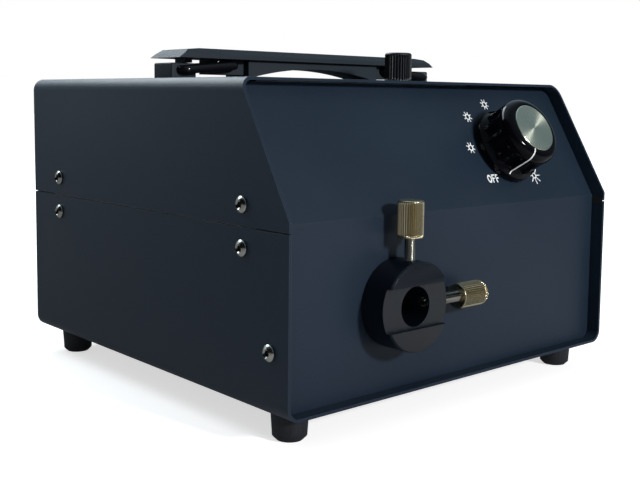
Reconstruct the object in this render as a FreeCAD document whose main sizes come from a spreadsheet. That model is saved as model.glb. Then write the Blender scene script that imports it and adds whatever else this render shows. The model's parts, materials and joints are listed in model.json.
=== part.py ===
"""Fibre optic illuminator: a bench light source with a light guide port, a dimmer and a lift-up handle.

The origin is the middle of the case's footprint, on the bench. X runs right, Y runs back and Z runs up.
"""
import FreeCAD, Part
import math
import os
import re
import Sketcher

os.makedirs("parts", exist_ok=True)
doc = FreeCAD.newDocument("illuminator")
sheet = doc.addObject("Spreadsheet::Sheet", "sizes")

# Driving dimensions in millimetres and counts, each with what it measures
SIZES = {
    "box_width": 198,  # width of the case
    "box_depth": 202,  # depth of the case at its base
    "box_height": 125,  # height of the case without its feet
    "skin": 1.2,  # thickness of the covers' sheet
    "bend_radius": 5.5,  # outer radius of the covers' long bends
    "seam_height": 69,  # height of the lower cover's top edge
    "seam_gap": 0.4,  # gap between the two covers
    "fold_height": 73.2,  # height at which the front starts to slope back
    "setback": 30,  # how far the top edge stands behind the lower front
    "panel_recess": 6,  # how far the front panel lies inside the covers' edge
    "panel_sheet": 1.5,  # thickness of the front and rear panels
    "panel_gap": 0.4,  # gap between a panel and the covers
    "flange_depth": 14,  # depth of the front panel's folded flanges
    "rear_recess": 1.5,  # how far the rear panel lies inside the covers' edge
    "overrun": 2,  # how far a cutter runs past what it cuts
    "rail_sheet": 2,  # thickness of the side rails
    "rail_margin": 8,  # rail beyond the outermost screw
    "screw_radius": 1.75,  # shank radius of the cover screws
    "screw_hole_radius": 1.95,  # hole radius in the covers for those screws
    "screw_head_radius": 3.3,  # head radius of the cover screws
    "screw_head_height": 1.9,  # head height of the cover screws
    "screw_head_bevel": 0.9,  # bevel round the head of the cover screws
    "screw_length": 7,  # shank length of the cover screws
    "hex_radius": 1.3,  # corner radius of the hexagon socket
    "hex_depth": 1.1,  # depth of the hexagon socket
    "side_screw_front": 27.8,  # front pair of side screws, from the front
    "side_screw_rear": 27,  # rear pair of side screws, from the rear
    "upper_screw_rise": 8.1,  # upper side screws, from the upper cover's lower edge
    "lower_screw_drop": 7.9,  # lower side screws, from the lower cover's top edge
    "toe_screw_front": 10.9,  # lower front screw, from the front
    "toe_screw_height": 24.5,  # lower front screw, above the case's base
    "foot_height": 12,  # height of the rubber feet
    "foot_radius": 7.5,  # radius at a foot's top
    "foot_tip_radius": 6.8,  # radius near a foot's bottom
    "foot_edge": 1.6,  # bevel round a foot's bottom
    "foot_inset_x": 14.1,  # foot's centre, from the side
    "foot_inset_y": 16,  # foot's centre, from the front and rear
    "foot_recess_radius": 4,  # recess for the foot's screw head
    "foot_recess_depth": 5,  # depth of that recess
    "foot_screw_radius": 2,  # shank radius of the foot screws
    "foot_head_radius": 3.6,  # head radius of the foot screws
    "foot_head_height": 2.4,  # head height of the foot screws
    "foot_nut_radius": 3.9,  # corner radius of the foot nuts
    "foot_nut_height": 3.2,  # height of the foot nuts
    "foot_screw_tail": 2,  # foot screw beyond its nut
    "rear_flange": 19,  # depth of the rear panel's foot
    "vent_width": 3.2,  # width of a vent slot
    "vent_length": 34,  # length of a vent slot
    "vent_pitch": 9,  # spacing of the vent slots
    "vent_start": 54,  # first row of vents, behind the lamp's rim
    "vent_row_pitch": 50,  # spacing of the rows of vents
    "port_offset": 39.7,  # port's axis, left of the middle
    "port_height": 36.6,  # port's axis, above the case's base
    "port_radius": 18,  # outer radius of the port's boss
    "port_length": 14.1,  # how far the boss stands out of the panel
    "port_bevel": 0.6,  # bevel round the boss's front
    "port_bore_radius": 8,  # bore for the light guide's ferrule
    "port_slot_height": 17.2,  # height of the slot across the boss
    "port_slot_depth": 2.2,  # depth of that slot
    "spigot_radius": 12,  # threaded spigot behind the boss
    "spigot_length": 7,  # length of the spigot behind the panel's face
    "ring_nut_radius": 16.5,  # outer radius of the spigot's ring nut
    "ring_nut_height": 4,  # height of the ring nut
    "lock_depth": 5.8,  # locking screws' axis, from the boss's front
    "lock_stud_radius": 2.5,  # radius of the locking screws' studs
    "thread_clearance": 0.05,  # radial clearance of studs that turn
    "lock_head_radius": 5.25,  # radius of the knurled heads
    "lock_head_height": 14.8,  # height of the knurled heads
    "lock_head_bevel": 0.8,  # bevel round both ends of a knurled head
    "lock_grip_depth": 10,  # how far a stud goes into its head
    "top_lock_gap": 8.8,  # head of the top locking screw to the boss
    "side_lock_gap": 10.2,  # head of the side locking screw to the boss
    "lock_tip_recess": 0.3,  # stud's tip, back from the bore's wall
    "lock_tip_radius": 1.7,  # radius of the stud's tip
    "lock_tip_length": 1.5,  # length of the stud's tip
    "knurl_count": 30,  # grooves round a knurled head
    "knurl_depth": 0.4,  # depth of those grooves
    "knurl_radius": 0.6,  # radius of the tool that cuts them
    "hatch_side": 21,  # hatch's left edge, from the case's left side
    "hatch_length": 112,  # length of the hatch
    "hatch_front": 45,  # hatch's front edge, from the front
    "hatch_back": 87,  # hatch's back edge, from the front
    "hatch_gap": 0.6,  # gap round the hatch
    "hatch_lift": 0.15,  # gap between the hatch and its ledge
    "hatch_ledge": 4,  # ledge under the hatch's edges
    "ledge_sheet": 1.5,  # thickness of the hatch frame
    "frame_margin": 6,  # hatch frame beyond the hatch's edges
    "knuckle_radius": 2.2,  # outer radius of the hatch's hinge knuckles
    "knuckle_width": 6,  # width of the frame's end knuckles
    "knuckle_gap": 0.4,  # gap between knuckles
    "hinge_pin_radius": 1,  # radius of the hatch's hinge pin
    "hatch_screw_inset": 12,  # hatch screw, from the hatch's right edge
    "hatch_screw_front": 66,  # hatch screw, from the front
    "hatch_stud_radius": 2,  # radius of the hatch screw's stud
    "hatch_stud_length": 6,  # stud below the hatch screw's knob
    "hatch_tip_radius": 1.7,  # radius of the hatch stud's tip
    "hatch_stud_clearance": 0.5,  # room round the stud in the hatch frame
    "hatch_boss_radius": 5,  # boss under the frame for the stud
    "hatch_boss_height": 5,  # height of that boss
    "hatch_knob_radius": 6.4,  # radius of the hatch screw's knob
    "hatch_knob_height": 13.8,  # height of the hatch screw's knob
    "hatch_knob_bevel": 1.4,  # bevel round the knob's ends
    "hatch_knob_grip": 8,  # how far the stud goes into the knob
    "hatch_knob_gap": 0.2,  # gap between the knob and the hatch
    "rib_count": 24,  # grooves round the hatch screw's knob
    "rib_depth": 0.7,  # depth of those grooves
    "rib_radius": 0.6,  # radius of the tool that cuts them
    "dial_x": 43.8,  # dimmer's axis, from the middle
    "dial_rise": 27,  # dimmer's axis, up the slope from the panel's fold
    "knob_gap": 0.8,  # gap between the knob's skirt and the panel
    "skirt_radius": 17.5,  # radius of the knob's skirt
    "skirt_height": 3.4,  # straight height of the skirt
    "skirt_bevel": 1.6,  # height of the bevel above the skirt
    "grip_radius": 16,  # radius of the knob's fluted grip
    "knob_height": 20.2,  # knob's top above the panel
    "crown_height": 2.4,  # height of the bevel at the knob's top
    "crown_radius": 12.7,  # radius at the top of that bevel
    "cap_radius": 11.8,  # radius of the metal cap
    "cap_sink": 1.2,  # recess for the cap
    "cap_proud": 0.3,  # how far the cap stands proud
    "flute_count": 12,  # flutes round the knob
    "flute_depth": 0.8,  # depth of a flute
    "flute_radius": 4.2,  # radius of the tool that cuts a flute
    "hollow_radius": 9,  # radius of the hollow under the knob
    "hollow_height": 5.5,  # height of that hollow
    "shaft_radius": 3,  # radius of the dimmer's shaft
    "shaft_clearance": 0.05,  # radial clearance round the shaft
    "shaft_reach": 16,  # shaft's end above the panel
    "shaft_depth": 7.5,  # shaft's inner end behind the panel
    "bush_radius": 3.5,  # radius of the threaded bush
    "bush_height": 5,  # bush's end above the panel
    "bush_hole_clearance": 0.15,  # room round the bush in the panel
    "pot_radius": 12,  # radius of the dimmer's housing
    "pot_depth": 11,  # depth of the dimmer's housing
    "pot_nut_radius": 5.8,  # corner radius of the bush's nut
    "pot_nut_height": 2.2,  # height of that nut
    "tab_width": 2,  # width of the dimmer's solder tabs
    "tab_length": 8,  # length of those tabs
    "tab_pitch": 5,  # spacing of those tabs
    "tab_sheet": 0.6,  # thickness of those tabs
    "set_screw_radius": 1.5,  # radius of the knob's set screw
    "set_screw_height": 9.5,  # set screw's axis above the panel
    "set_screw_length": 10,  # length of the set screw
    "handle_back": 109.2,  # handle's centre line, from the front
    "grip_inset": 18,  # grip's tips, from the case's sides
    "grip_width": 24,  # width of the grip's plate
    "grip_top": 13.6,  # top of the grip above the case
    "grip_under": 9.2,  # underside of the grip's plate above the case
    "grip_shoulder": 5.5,  # length of the bevel at the grip's tips
    "grip_brow": 6.5,  # length of the flatter bevel above it
    "grip_brow_drop": 0.6,  # drop of that flatter bevel
    "grip_edge": 2.4,  # bevel along the grip's top edges
    "web_inset": 36.2,  # ends of the grip's web, from the bails' pivots
    "web_width": 18,  # width of the web
    "web_gap": 0.9,  # gap between the web and the case
    "arch_height": 5.9,  # crown of the web's arch above the case
    "arch_margin": 0.5,  # arch's ends, from the ends of the web
    "lug_length": 17.6,  # length of the lugs beyond the web
    "lug_width": 11,  # width of the lugs
    "lug_drop": 2.4,  # lug's underside above the case
    "slot_play": 0.5,  # play of the bail in its slot
    "bail_swing": 30,  # how many degrees the bails swing up
    "rib_inset": 6.5,  # stop ribs, from the bails' pivots
    "rib_width": 4,  # width of the stop rib along the grip
    "rib_across": 8,  # width of the stop rib across the grip
    "rib_drop": 1.9,  # height of the stop rib
    "bail_radius": 2,  # radius of the bails' wire
    "bail_pivot_inset": 21.5,  # bails' pivots, from the case's sides
    "bail_pivot_height": 3.9,  # bails' pivots above the case
    "bail_reach": 28.5,  # bail's length between its cross bars
    "bail_rise": 2.6,  # rise of the bail at rest
    "bail_half": 10,  # half width of the bail
    "bail_bend": 2.7,  # bend radius of the bail's corners
    "bail_clearance": 0.08,  # radial clearance of the bail in its base
    "base_inset": 30,  # base blocks' inner ends, from the case's sides
    "base_length": 13,  # length of the base block
    "base_width": 14.6,  # width of the base block
    "base_height": 7,  # height of the base block
    "base_edge": 0.8,  # rounding of the base block
    "base_screw_inset": 26.8,  # handle screws, from the case's sides
    "base_screw_y": 4.2,  # handle screws, from the handle's centre line
    "base_screw_depth": 5,  # handle screws' depth in the base
    "base_screw_radius": 1.8,  # radius of the handle screws
    "base_screw_head_radius": 3.4,  # head radius of the handle screws
    "base_screw_head_height": 2.2,  # head height of the handle screws
    "lamp_front": 44,  # lamp's rim, from the front
    "lamp_rim_radius": 25.2,  # radius of the lamp's rim
    "lamp_rim_depth": 3,  # depth of the lamp's rim
    "lamp_wall": 1.8,  # thickness of the reflector
    "lamp_waist_radius": 19.5,  # reflector's radius half way back
    "lamp_waist_depth": 17,  # depth of that place
    "lamp_neck_radius": 8,  # radius of the reflector's neck
    "lamp_neck_start": 28,  # where the neck starts
    "lamp_neck_end": 38,  # where the neck ends
    "capsule_radius": 4.8,  # radius of the lamp's capsule
    "capsule_front": 12,  # capsule's tip, behind the rim
    "capsule_round": 3,  # rounding of the capsule's tip
    "base_fill_depth": 4,  # lamp's base behind the neck
    "pin_radius": 0.8,  # radius of the lamp's pins
    "pin_pitch": 5.3,  # spacing of the lamp's pins
    "pin_length": 9,  # length of the lamp's pins behind its base
    "pin_play": 0.2,  # room round each pin in the socket
    "socket_width": 24,  # width of the lamp's socket
    "socket_height": 14,  # height of the socket
    "socket_depth": 13,  # depth of the socket
    "bracket_sheet": 1.5,  # thickness of the lamp's bracket
    "bracket_half": 29,  # half width of the lamp's bracket
    "bracket_window": 22,  # radius of the bracket's window
    "bracket_rise": 30,  # bracket's top above the lamp's axis
    "post_half": 13,  # half width of the socket's post
    "post_depth": 6,  # depth of the socket's post
    "filter_front": 24,  # filter's front face, from the front
    "filter_radius": 14,  # radius of the heat filter
    "filter_thickness": 3,  # thickness of the heat filter
    "filter_window": 12,  # radius of the light's window at the filter
    "filter_wall": 1.5,  # filter holder beyond the filter's faces
    "filter_half": 19,  # half width of the filter's holder
    "holder_foot": 7.5,  # foot of the filter's holder, behind the filter
    "fan_depth": 25,  # depth of the fan
    "fan_side": 51,  # fan's axis, from the case's left side
    "fan_z": 62,  # fan's axis, above the case's base
    "fan_bore_radius": 38,  # radius of the fan's duct
    "fan_hole_pitch": 71.5,  # spacing of the fan's screws
    "fan_rim": 8.5,  # side of the fan's frame, beyond the spacing of its screws
    "fan_screw_radius": 2,  # radius of the fan's screws
    "fan_screw_head_radius": 3.6,  # head radius of those screws
    "fan_screw_head_height": 2.2,  # head height of those screws
    "fan_screw_tail": 3,  # fan screw beyond the frame
    "fan_hub_radius": 17,  # radius of the motor's plate
    "fan_hub_plate": 4,  # thickness of the motor's plate
    "fan_strut": 5,  # width of the fan's struts
    "rotor_radius": 35.5,  # radius of the rotor's blades
    "rotor_hub_radius": 16.5,  # radius of the rotor's hub
    "rotor_gap": 0.8,  # gap before and behind the rotor
    "blade_count": 7,  # blades of the rotor
    "blade_sweep": 8,  # half width of a blade seen along the axis
    "blade_sheet": 2.4,  # thickness of a blade along the axis
    "rotor_shaft_radius": 1.5,  # radius of the rotor's shaft
    "rotor_shaft_length": 3,  # rotor's shaft in its bearing
    "guard_wire": 0.9,  # radius of the guard's wire
    "guard_proud": 3,  # how far the guard stands behind the case
    "guard_rings": 4,  # rings of the guard
    "guard_pitch": 9,  # spacing of the guard's rings
    "guard_eye_radius": 4.4,  # radius of the guard's eyes
    "guard_arm_set": 1.35,  # guard's arms, before the middle of its rings
    "inlet_side": 43,  # inlet's centre, from the case's right side
    "inlet_z": 38,  # inlet's centre, above the case's base
    "inlet_flange_width": 50,  # width of the inlet's flange
    "inlet_flange_height": 36,  # height of the inlet's flange
    "inlet_flange": 2.5,  # thickness of the inlet's flange
    "inlet_body_width": 28,  # width of the inlet's body
    "inlet_body_height": 32,  # height of the inlet's body
    "inlet_body_depth": 24,  # depth of the inlet's body
    "inlet_edge": 3,  # rounding of the inlet's flange
    "socket_recess_width": 24.4,  # width of the inlet's socket
    "socket_recess_height": 16.4,  # height of the inlet's socket
    "socket_recess_depth": 19,  # depth of the inlet's socket
    "socket_recess_rise": 5.5,  # socket's centre above the inlet's centre
    "contact_length": 14,  # length of the inlet's contacts
    "contact_width": 4,  # width of a contact
    "contact_sheet": 2,  # thickness of a contact
    "contact_pitch": 7,  # spacing of the contacts
    "contact_step": 4,  # rise of the middle contact
    "drawer_width": 22,  # width of the fuse drawer
    "drawer_height": 8.4,  # height of the fuse drawer
    "drawer_depth": 17,  # depth of the fuse drawer
    "drawer_drop": 9.6,  # drawer's centre below the inlet's centre
    "drawer_play": 0.25,  # play round the drawer
    "drawer_lip": 1.6,  # finger lip of the drawer
    "fuse_radius": 2.6,  # radius of the fuse
    "fuse_length": 20,  # length of the fuse
    "fuse_play": 0.15,  # play round the fuse
    "inlet_screw_pitch": 40,  # spacing of the inlet's screws
    "inlet_screw_radius": 1.5,  # radius of the inlet's screws
    "inlet_screw_head": 2.8,  # head radius of the inlet's screws
    "inlet_screw_length": 8,  # length of the inlet's screws
    "core_side_gap": 2.8,  # room between the transformer's cradle and the right side rail
    "core_rear_gap": 17.5,  # room between the winding and the inlet
    "core_width": 66,  # width of the core
    "core_height": 55,  # height of the core
    "core_stack": 40,  # depth of the core's stack
    "core_leg": 11,  # width of an outer leg
    "window_width": 11,  # width of a core window
    "window_height": 33,  # height of a core window
    "core_lift": 3,  # core's base above the case's floor
    "bobbin_wall": 1.2,  # thickness of the bobbin
    "bobbin_play": 0.3,  # play of the bobbin on the core
    "bobbin_reach": 11,  # bobbin's flange beyond the stack
    "winding_margin": 1.6,  # winding inside the bobbin's flange
    "cradle_sheet": 1.5,  # thickness of the transformer's cradle
    "cradle_foot": 3,  # width of the cradle's feet
    "cradle_rise": 30,  # height of the cradle's sides
    "board_gap": 6,  # board, from the heat shield's foot
    "board_side": 11,  # board's right edge, from the case's right side
    "board_front": 24,  # board's front edge, from the front
    "board_core_gap": 13,  # board's back edge, from the winding
    "board_lift": 10,  # board above the case's floor
    "board_sheet": 1.6,  # thickness of the board
    "post_radius": 3,  # radius of the board's posts
    "post_inset": 6,  # posts, from the board's edges
    "sink_width": 30,  # width of the heat sink
    "sink_height": 24,  # height of the heat sink
    "sink_base": 3,  # thickness of the heat sink's base
    "sink_depth": 14,  # depth of the heat sink
    "sink_fins": 6,  # fins of the heat sink
    "fin_sheet": 1.4,  # thickness of a fin
    "choke_radius": 8,  # ring radius of the choke
    "choke_section": 4,  # section radius of the choke
    "cap_block_width": 18,  # width of the film capacitor, from front to back
    "cap_block_depth": 9,  # thickness of the film capacitor
    "cap_block_height": 15,  # height of the film capacitor
    "parts_gap": 1.5,  # room between the parts on the board
    "shield_front": 30,  # heat shield's front edge, from the front
    "shield_rear": 34,  # heat shield's rear edge, from the rear
    "shield_height": 104,  # height of the heat shield
    "shield_foot": 8,  # width of the heat shield's foot
    "shield_sheet": 1.2,  # thickness of the heat shield
    "lead_radius": 1.1,  # radius of the lamp's leads
    "lead_bend": 5.2,  # bend radius of the inner lead
    "lead_pitch": 2.6,  # spacing of the leads
    "lead_grip": 3,  # leads' ends inside the socket
    "lead_hole_radius": 4.5,  # hole for the leads in the heat shield
}

for row, (name, size) in enumerate(SIZES.items(), 1):
    sheet.set("A%d" % row, name.replace("_", " "))
    sheet.set("B%d" % row, str(size))
    sheet.setAlias("B%d" % row, name)
doc.recompute()

# Places that follow from the driving dimensions
PLACES = {
    "half": "box_width / 2",
    "bottom": "foot_height",
    "floor": "bottom + skin",
    "nut_z": "floor + panel_sheet",
    "top": "foot_height + box_height",
    "ceiling": "top - skin",
    "front": "-(box_depth + guard_proud - port_length + panel_recess) / 2",
    "rear": "front + box_depth",
    "slope": "atan(setback / (box_height - fold_height))",
    "fan_size": "fan_hole_pitch + fan_rim",
    "panel_front": "front + panel_recess",
    "panel_back": "panel_front + panel_sheet",
    "panel_fold": "bottom + fold_height - panel_recess * tan(slope / 2)",
    "panel_fold_back": "bottom + fold_height - (panel_recess + panel_sheet) * tan(slope / 2)",
    "panel_half": "half - skin - panel_gap",
    "panel_high": "ceiling - panel_gap",
    "rear_face": "rear - rear_recess",
    "rear_inside": "rear_face - panel_sheet",
    "upper_screw_height": "seam_height + seam_gap + upper_screw_rise",
    "lower_screw_height": "seam_height - lower_screw_drop",
    "port_x": "-port_offset",
    "port_z": "bottom + port_height",
    "port_face": "panel_front - port_length",
    "lock_y": "port_face + lock_depth",
    "dial_y": "panel_front + dial_rise * sin(slope)",
    "dial_z": "panel_fold + dial_rise * cos(slope)",
    "hatch_left": "half - hatch_side",
    "hatch_right": "hatch_length - hatch_left",
    "hatch_screw_x": "hatch_right - hatch_screw_inset",
    "hinge_x": "-hatch_left + knuckle_radius",
    "hinge_z": "top - knuckle_radius",
    "handle_y": "front + handle_back",
    "grip_half": "half - grip_inset",
    "base_start": "half - base_inset",
    "base_screw_x": "half - base_screw_inset",
    "bail_pivot_x": "half - bail_pivot_inset",
    "web_half": "bail_pivot_x - web_inset",
    "arch_half": "web_half - arch_margin",
    "rib_place": "bail_pivot_x - rib_inset",
    "bail_rest": "asin(bail_rise / bail_reach)",
    "slot_travel": "bail_reach * (cos(bail_rest) - cos(bail_rest + bail_swing * 1 deg))",
    "lamp_y": "front + lamp_front",
    "lead_y": "lamp_y + lamp_neck_end + base_fill_depth + socket_depth",
    "fan_x": "-half + fan_side",
    "fan_axis_z": "bottom + fan_z",
    "fan_front": "rear_inside - fan_depth",
    "inlet_x": "half - inlet_side",
    "inlet_axis_z": "bottom + inlet_z",
    "core_right": "half - skin - rail_sheet - core_side_gap - cradle_foot - cradle_sheet",
    "core_x": "core_right - core_width / 2",
    "core_front": "core_axis_y - core_stack / 2 - bobbin_reach",
    "core_axis_y": "rear_face - inlet_body_depth - core_rear_gap - bobbin_reach - core_stack / 2",
    "core_bottom": "floor + core_lift",
    "core_axis_z": "core_bottom + core_height / 2",
    "cradle_left": "core_right - core_width - cradle_sheet - cradle_foot",
    "shield_x": "(port_x + bracket_half + cradle_left - shield_foot) / 2",
    "board_left": "shield_x + shield_foot + board_gap",
    "board_right": "half - board_side",
    "board_rear": "core_front - board_core_gap",
    "board_middle": "(front + board_front + board_rear) / 2",
    "board_z": "floor + board_lift",
}
WORD = re.compile(r"[A-Za-z_]\w*")


def full(text):
    """The expression for the sheet: places are spelt out, sizes get the sheet's name."""
    def spell(match):
        word = match.group()
        if word in PLACES:
            return "(" + full(PLACES[word]) + ")"
        return "sizes." + word if word in SIZES else word
    return WORD.sub(spell, str(text))


def number(text):
    """The value of an expression, for geometry that has no property to bind."""
    value = sheet.evalExpression(full(text))
    return float(getattr(value, "Value", value))


def bind(thing, **properties):
    """Binds properties to expressions; an underscore in a name stands for a dot."""
    for name, text in properties.items():
        thing.setExpression(name.replace("_", "."), full(text))
    return thing


def add(kind, label):
    thing = doc.addObject(kind, label)
    thing.Label = label
    return thing


def between(low, high):
    return "(%s) - (%s)" % (high, low)


def block(label, x, y, z):
    """A box between a low and a high place on each axis."""
    box = add("Part::Box", label)
    return bind(box, Length=between(*x), Width=between(*y), Height=between(*z),
                Placement_Base_x=x[0], Placement_Base_y=y[0], Placement_Base_z=z[0])


# Turns that lay a local +Z axis along the named axis
TURNS = {"x": (FreeCAD.Vector(0, 1, 0), 90), "y": (FreeCAD.Vector(1, 0, 0), -90),
         "z": (FreeCAD.Vector(0, 0, 1), 0)}


def turn_to(thing, axis):
    thing.Placement = FreeCAD.Placement(FreeCAD.Vector(), FreeCAD.Rotation(*TURNS[axis]))
    return thing


def rod(label, axis, centre, span, radius):
    """A cylinder along an axis, from the low to the high end of its span."""
    bar = turn_to(add("Part::Cylinder", label), axis)
    places = list(centre)
    places.insert("xyz".index(axis), span[0])
    return bind(bar, Radius=radius, Height=between(*span), Placement_Base_x=places[0],
                Placement_Base_y=places[1], Placement_Base_z=places[2])


def cut(label, base, *tools):
    """The base less every tool."""
    tool = tools[0] if len(tools) == 1 else join(label + "_tools", *tools)
    result = add("Part::Cut", label)
    result.Base, result.Tool = base, tool
    return result


def join(label, *pieces):
    """One piece made of several that meet or overlap."""
    result = add("Part::MultiFuse", label)
    result.Shapes = list(pieces)
    result.Refine = True
    return result


def common(label, *pieces):
    """What the pieces share."""
    result = add("Part::MultiCommon", label)
    result.Shapes = list(pieces)
    return result


def group(label, *pieces):
    """Several separate solids in one node."""
    result = add("Part::Compound", label)
    result.Links = list(pieces)
    return result


def soften(label, base, radius, wanted, kind="Part::Fillet"):
    """Rounds or bevels the edges for which wanted(edge) is true."""
    doc.recompute()
    size = number(radius)
    result = add(kind, label)
    result.Base = base
    result.Edges = [(place, size, size) for place, edge in enumerate(base.Shape.Edges, 1) if wanted(edge)]
    return result


def along(axis, *tests):
    """A test for straight edges along an axis whose middles also pass the other tests."""
    def wanted(edge):
        if len(edge.Vertexes) != 2 or edge.Curve.TypeId != "Part::GeomLine":
            return False
        run = edge.Vertexes[1].Point - edge.Vertexes[0].Point
        straight = abs(run.normalize()["xyz".index(axis)]) > 0.999
        return straight and all(test(edge.CenterOfMass) for test in tests)
    return wanted


def plane(body, role):
    return [part for part in body.Origin.OriginFeatures if part.Role == role][0]


def outline(body, role, points):
    """A closed sketch through points given as pairs of expressions."""
    sketch = body.newObject("Sketcher::SketchObject", body.Name + "_sketch")
    sketch.AttachmentSupport = [(plane(body, role), "")]
    sketch.MapMode = "FlatFace"
    places = [FreeCAD.Vector(number(x), number(y), 0) for x, y in points]
    count = len(points)
    for here in range(count):
        sketch.addGeometry(Part.LineSegment(places[here], places[(here + 1) % count]), False)
    for here in range(count):
        sketch.addConstraint(Sketcher.Constraint("Coincident", here, 2, (here + 1) % count, 1))
    for here, pair in enumerate(points):
        for kind, text, value in (("DistanceX", pair[0], places[here].x),
                                  ("DistanceY", pair[1], places[here].y)):
            place = sketch.addConstraint(Sketcher.Constraint(kind, -1, 1, here, 1, value))
            name = "%s%d" % (kind, here)
            sketch.renameConstraint(place, name)
            sketch.setExpression("Constraints." + name, full(text))
    return sketch


def turned(label, points):
    """A body turned about its own Z axis from an outline of radii and heights."""
    body = add("PartDesign::Body", label)
    profile = outline(body, "XZ_Plane", points)
    solid = body.newObject("PartDesign::Revolution", label + "_turn")
    solid.Profile = profile
    solid.ReferenceAxis = (profile, ["V_Axis"])
    solid.Angle = 360
    doc.recompute()
    return body


def padded(label, role, points, length):
    """A body padded to both sides of an origin plane."""
    body = add("PartDesign::Body", label)
    profile = outline(body, role, points)
    solid = body.newObject("PartDesign::Pad", label + "_pad")
    solid.Profile = profile
    bind(solid, Length=length)
    solid.Midplane = True
    doc.recompute()
    return body


def grooved(body, outer, depth, radius, count, start):
    """Cuts equal grooves round a turned body, from a start height up through its top."""
    before = body.Shape.Volume
    sketch = body.newObject("Sketcher::SketchObject", body.Name + "_groove")
    sketch.AttachmentSupport = [(plane(body, "XY_Plane"), "")]
    sketch.MapMode = "FlatFace"
    sketch.setExpression("AttachmentOffset.Base.z", full(start))
    centre = "%s + %s - %s" % (outer, radius, depth)
    circle = Part.Circle(FreeCAD.Vector(number(centre), 0, 0), FreeCAD.Vector(0, 0, 1), number(radius))
    sketch.addGeometry(circle, False)
    names = (("reach", "DistanceX", centre), ("size", "Radius", radius))
    for name, kind, text in names:
        ends = (-1, 1, 0, 3) if kind == "DistanceX" else (0,)
        place = sketch.addConstraint(Sketcher.Constraint(kind, *ends, number(text)))
        sketch.renameConstraint(place, name)
        sketch.setExpression("Constraints." + name, full(text))
    sketch.addConstraint(Sketcher.Constraint("PointOnObject", 0, 3, -1))
    groove = body.newObject("PartDesign::Pocket", body.Name + "_pocket")
    groove.Profile = sketch
    groove.Type = "ThroughAll"
    groove.Reversed = True
    doc.recompute()
    pattern = body.newObject("PartDesign::PolarPattern", body.Name + "_pattern")
    pattern.Originals = [groove]
    pattern.Axis = (plane(body, "Z_Axis"), [""])
    pattern.Angle = 360
    pattern.Occurrences = int(number(count))
    body.Tip = pattern
    doc.recompute()
    if body.Shape.Volume >= before:
        raise RuntimeError(body.Label + ": the grooves cut nothing")
    return body


def put(thing, x="0", y="0", z="0", axis="z"):
    """Places a piece that was made about its own origin."""
    turn_to(thing, axis)
    return bind(thing, Placement_Base_x=x, Placement_Base_y=y, Placement_Base_z=z)


def copies(label, master, places, axis="z"):
    """One node with a copy of the master at each place; an axis may be given with the place."""
    made = []
    for count, place in enumerate(places, 1):
        copy = add("Part::Feature", "%s_%d" % (label, count))
        copy.Shape = master.Shape.copy()
        turn = place[3] if len(place) > 3 else (TURNS[axis][0], TURNS[axis][1])
        copy.Placement = FreeCAD.Placement(FreeCAD.Vector(), FreeCAD.Rotation(*turn))
        made.append(bind(copy, Placement_Base_x=place[0], Placement_Base_y=place[1],
                         Placement_Base_z=place[2]))
    return group(label, *made)


def on_slope(thing):
    """Stands a piece made along +Z on the sloped panel, at the dimmer's axis."""
    turn = FreeCAD.Rotation(FreeCAD.Vector(1, 0, 0), number("90 deg - slope"))
    thing.Placement = FreeCAD.Placement(FreeCAD.Vector(), turn)
    thing.setExpression("Placement.Rotation.Angle", full("90 deg - slope"))
    return bind(thing, Placement_Base_x="dial_x", Placement_Base_y="dial_y", Placement_Base_z="dial_z")


def shell(label, low, high, base):
    """A cover: a block with two long bends less the room inside its sheet; base says which end is closed."""
    middle = number("((%s) + (%s)) / 2" % (low, high))
    bent = along("y", lambda place: (place.z < middle) == base)
    outer = soften(label + "_outer", block(label + "_block", ("-half", "half"), ("front", "rear"),
                                           (low, high)),
                   "bend_radius", bent)
    levels = (low + " + skin", high + " + overrun") if base else (low + " - overrun", high + " - skin")
    inner = soften(label + "_inner",
                   block(label + "_space", ("-half + skin", "half - skin"),
                         ("front - overrun", "rear + overrun"), levels), "bend_radius - skin", bent)
    return outer, inner


# Places of the screws in the sides, as distance from the front and height above the case's base
SIDE_SCREWS = [("front + side_screw_front", "bottom + upper_screw_height"),
               ("rear - side_screw_rear", "bottom + upper_screw_height"),
               ("front + side_screw_front", "bottom + lower_screw_height"),
               ("rear - side_screw_rear", "bottom + lower_screw_height"),
               ("front + toe_screw_front", "bottom + toe_screw_height")]
FOOT_PLACES = [(x, y) for x in ("-half + foot_inset_x", "half - foot_inset_x")
               for y in ("front + foot_inset_y", "rear - foot_inset_y")]


def side_holes(label, radius, wanted):
    """Bars through both sides at the chosen screws."""
    return [rod("%s_%d" % (label, place), "x", SIDE_SCREWS[place], ("-half - overrun", "half + overrun"),
                radius)
            for place in wanted]


# Case
outer, inner = shell("lower", "bottom", "bottom + seam_height", True)
vents = [block("floor_vent_%d_%d" % (row, place),
               ("port_x + vent_pitch * %d - vent_width / 2" % place,
                "port_x + vent_pitch * %d + vent_width / 2" % place),
               ("lamp_y + vent_start + vent_row_pitch * %d" % row,
                "lamp_y + vent_start + vent_row_pitch * %d + vent_length" % row),
               ("bottom - overrun", "floor + overrun"))
         for row in (0, 1) for place in (-2, -1, 0, 1, 2)]
foot_holes = [rod("foot_hole_%d" % place, "z", spot, ("bottom - overrun", "nut_z + overrun"),
                  "foot_screw_radius")
              for place, spot in enumerate(FOOT_PLACES)]
cut("lower_cover", outer, inner, *side_holes("lower_hole", "screw_hole_radius", (2, 3, 4)),
    *foot_holes, *vents)

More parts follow.
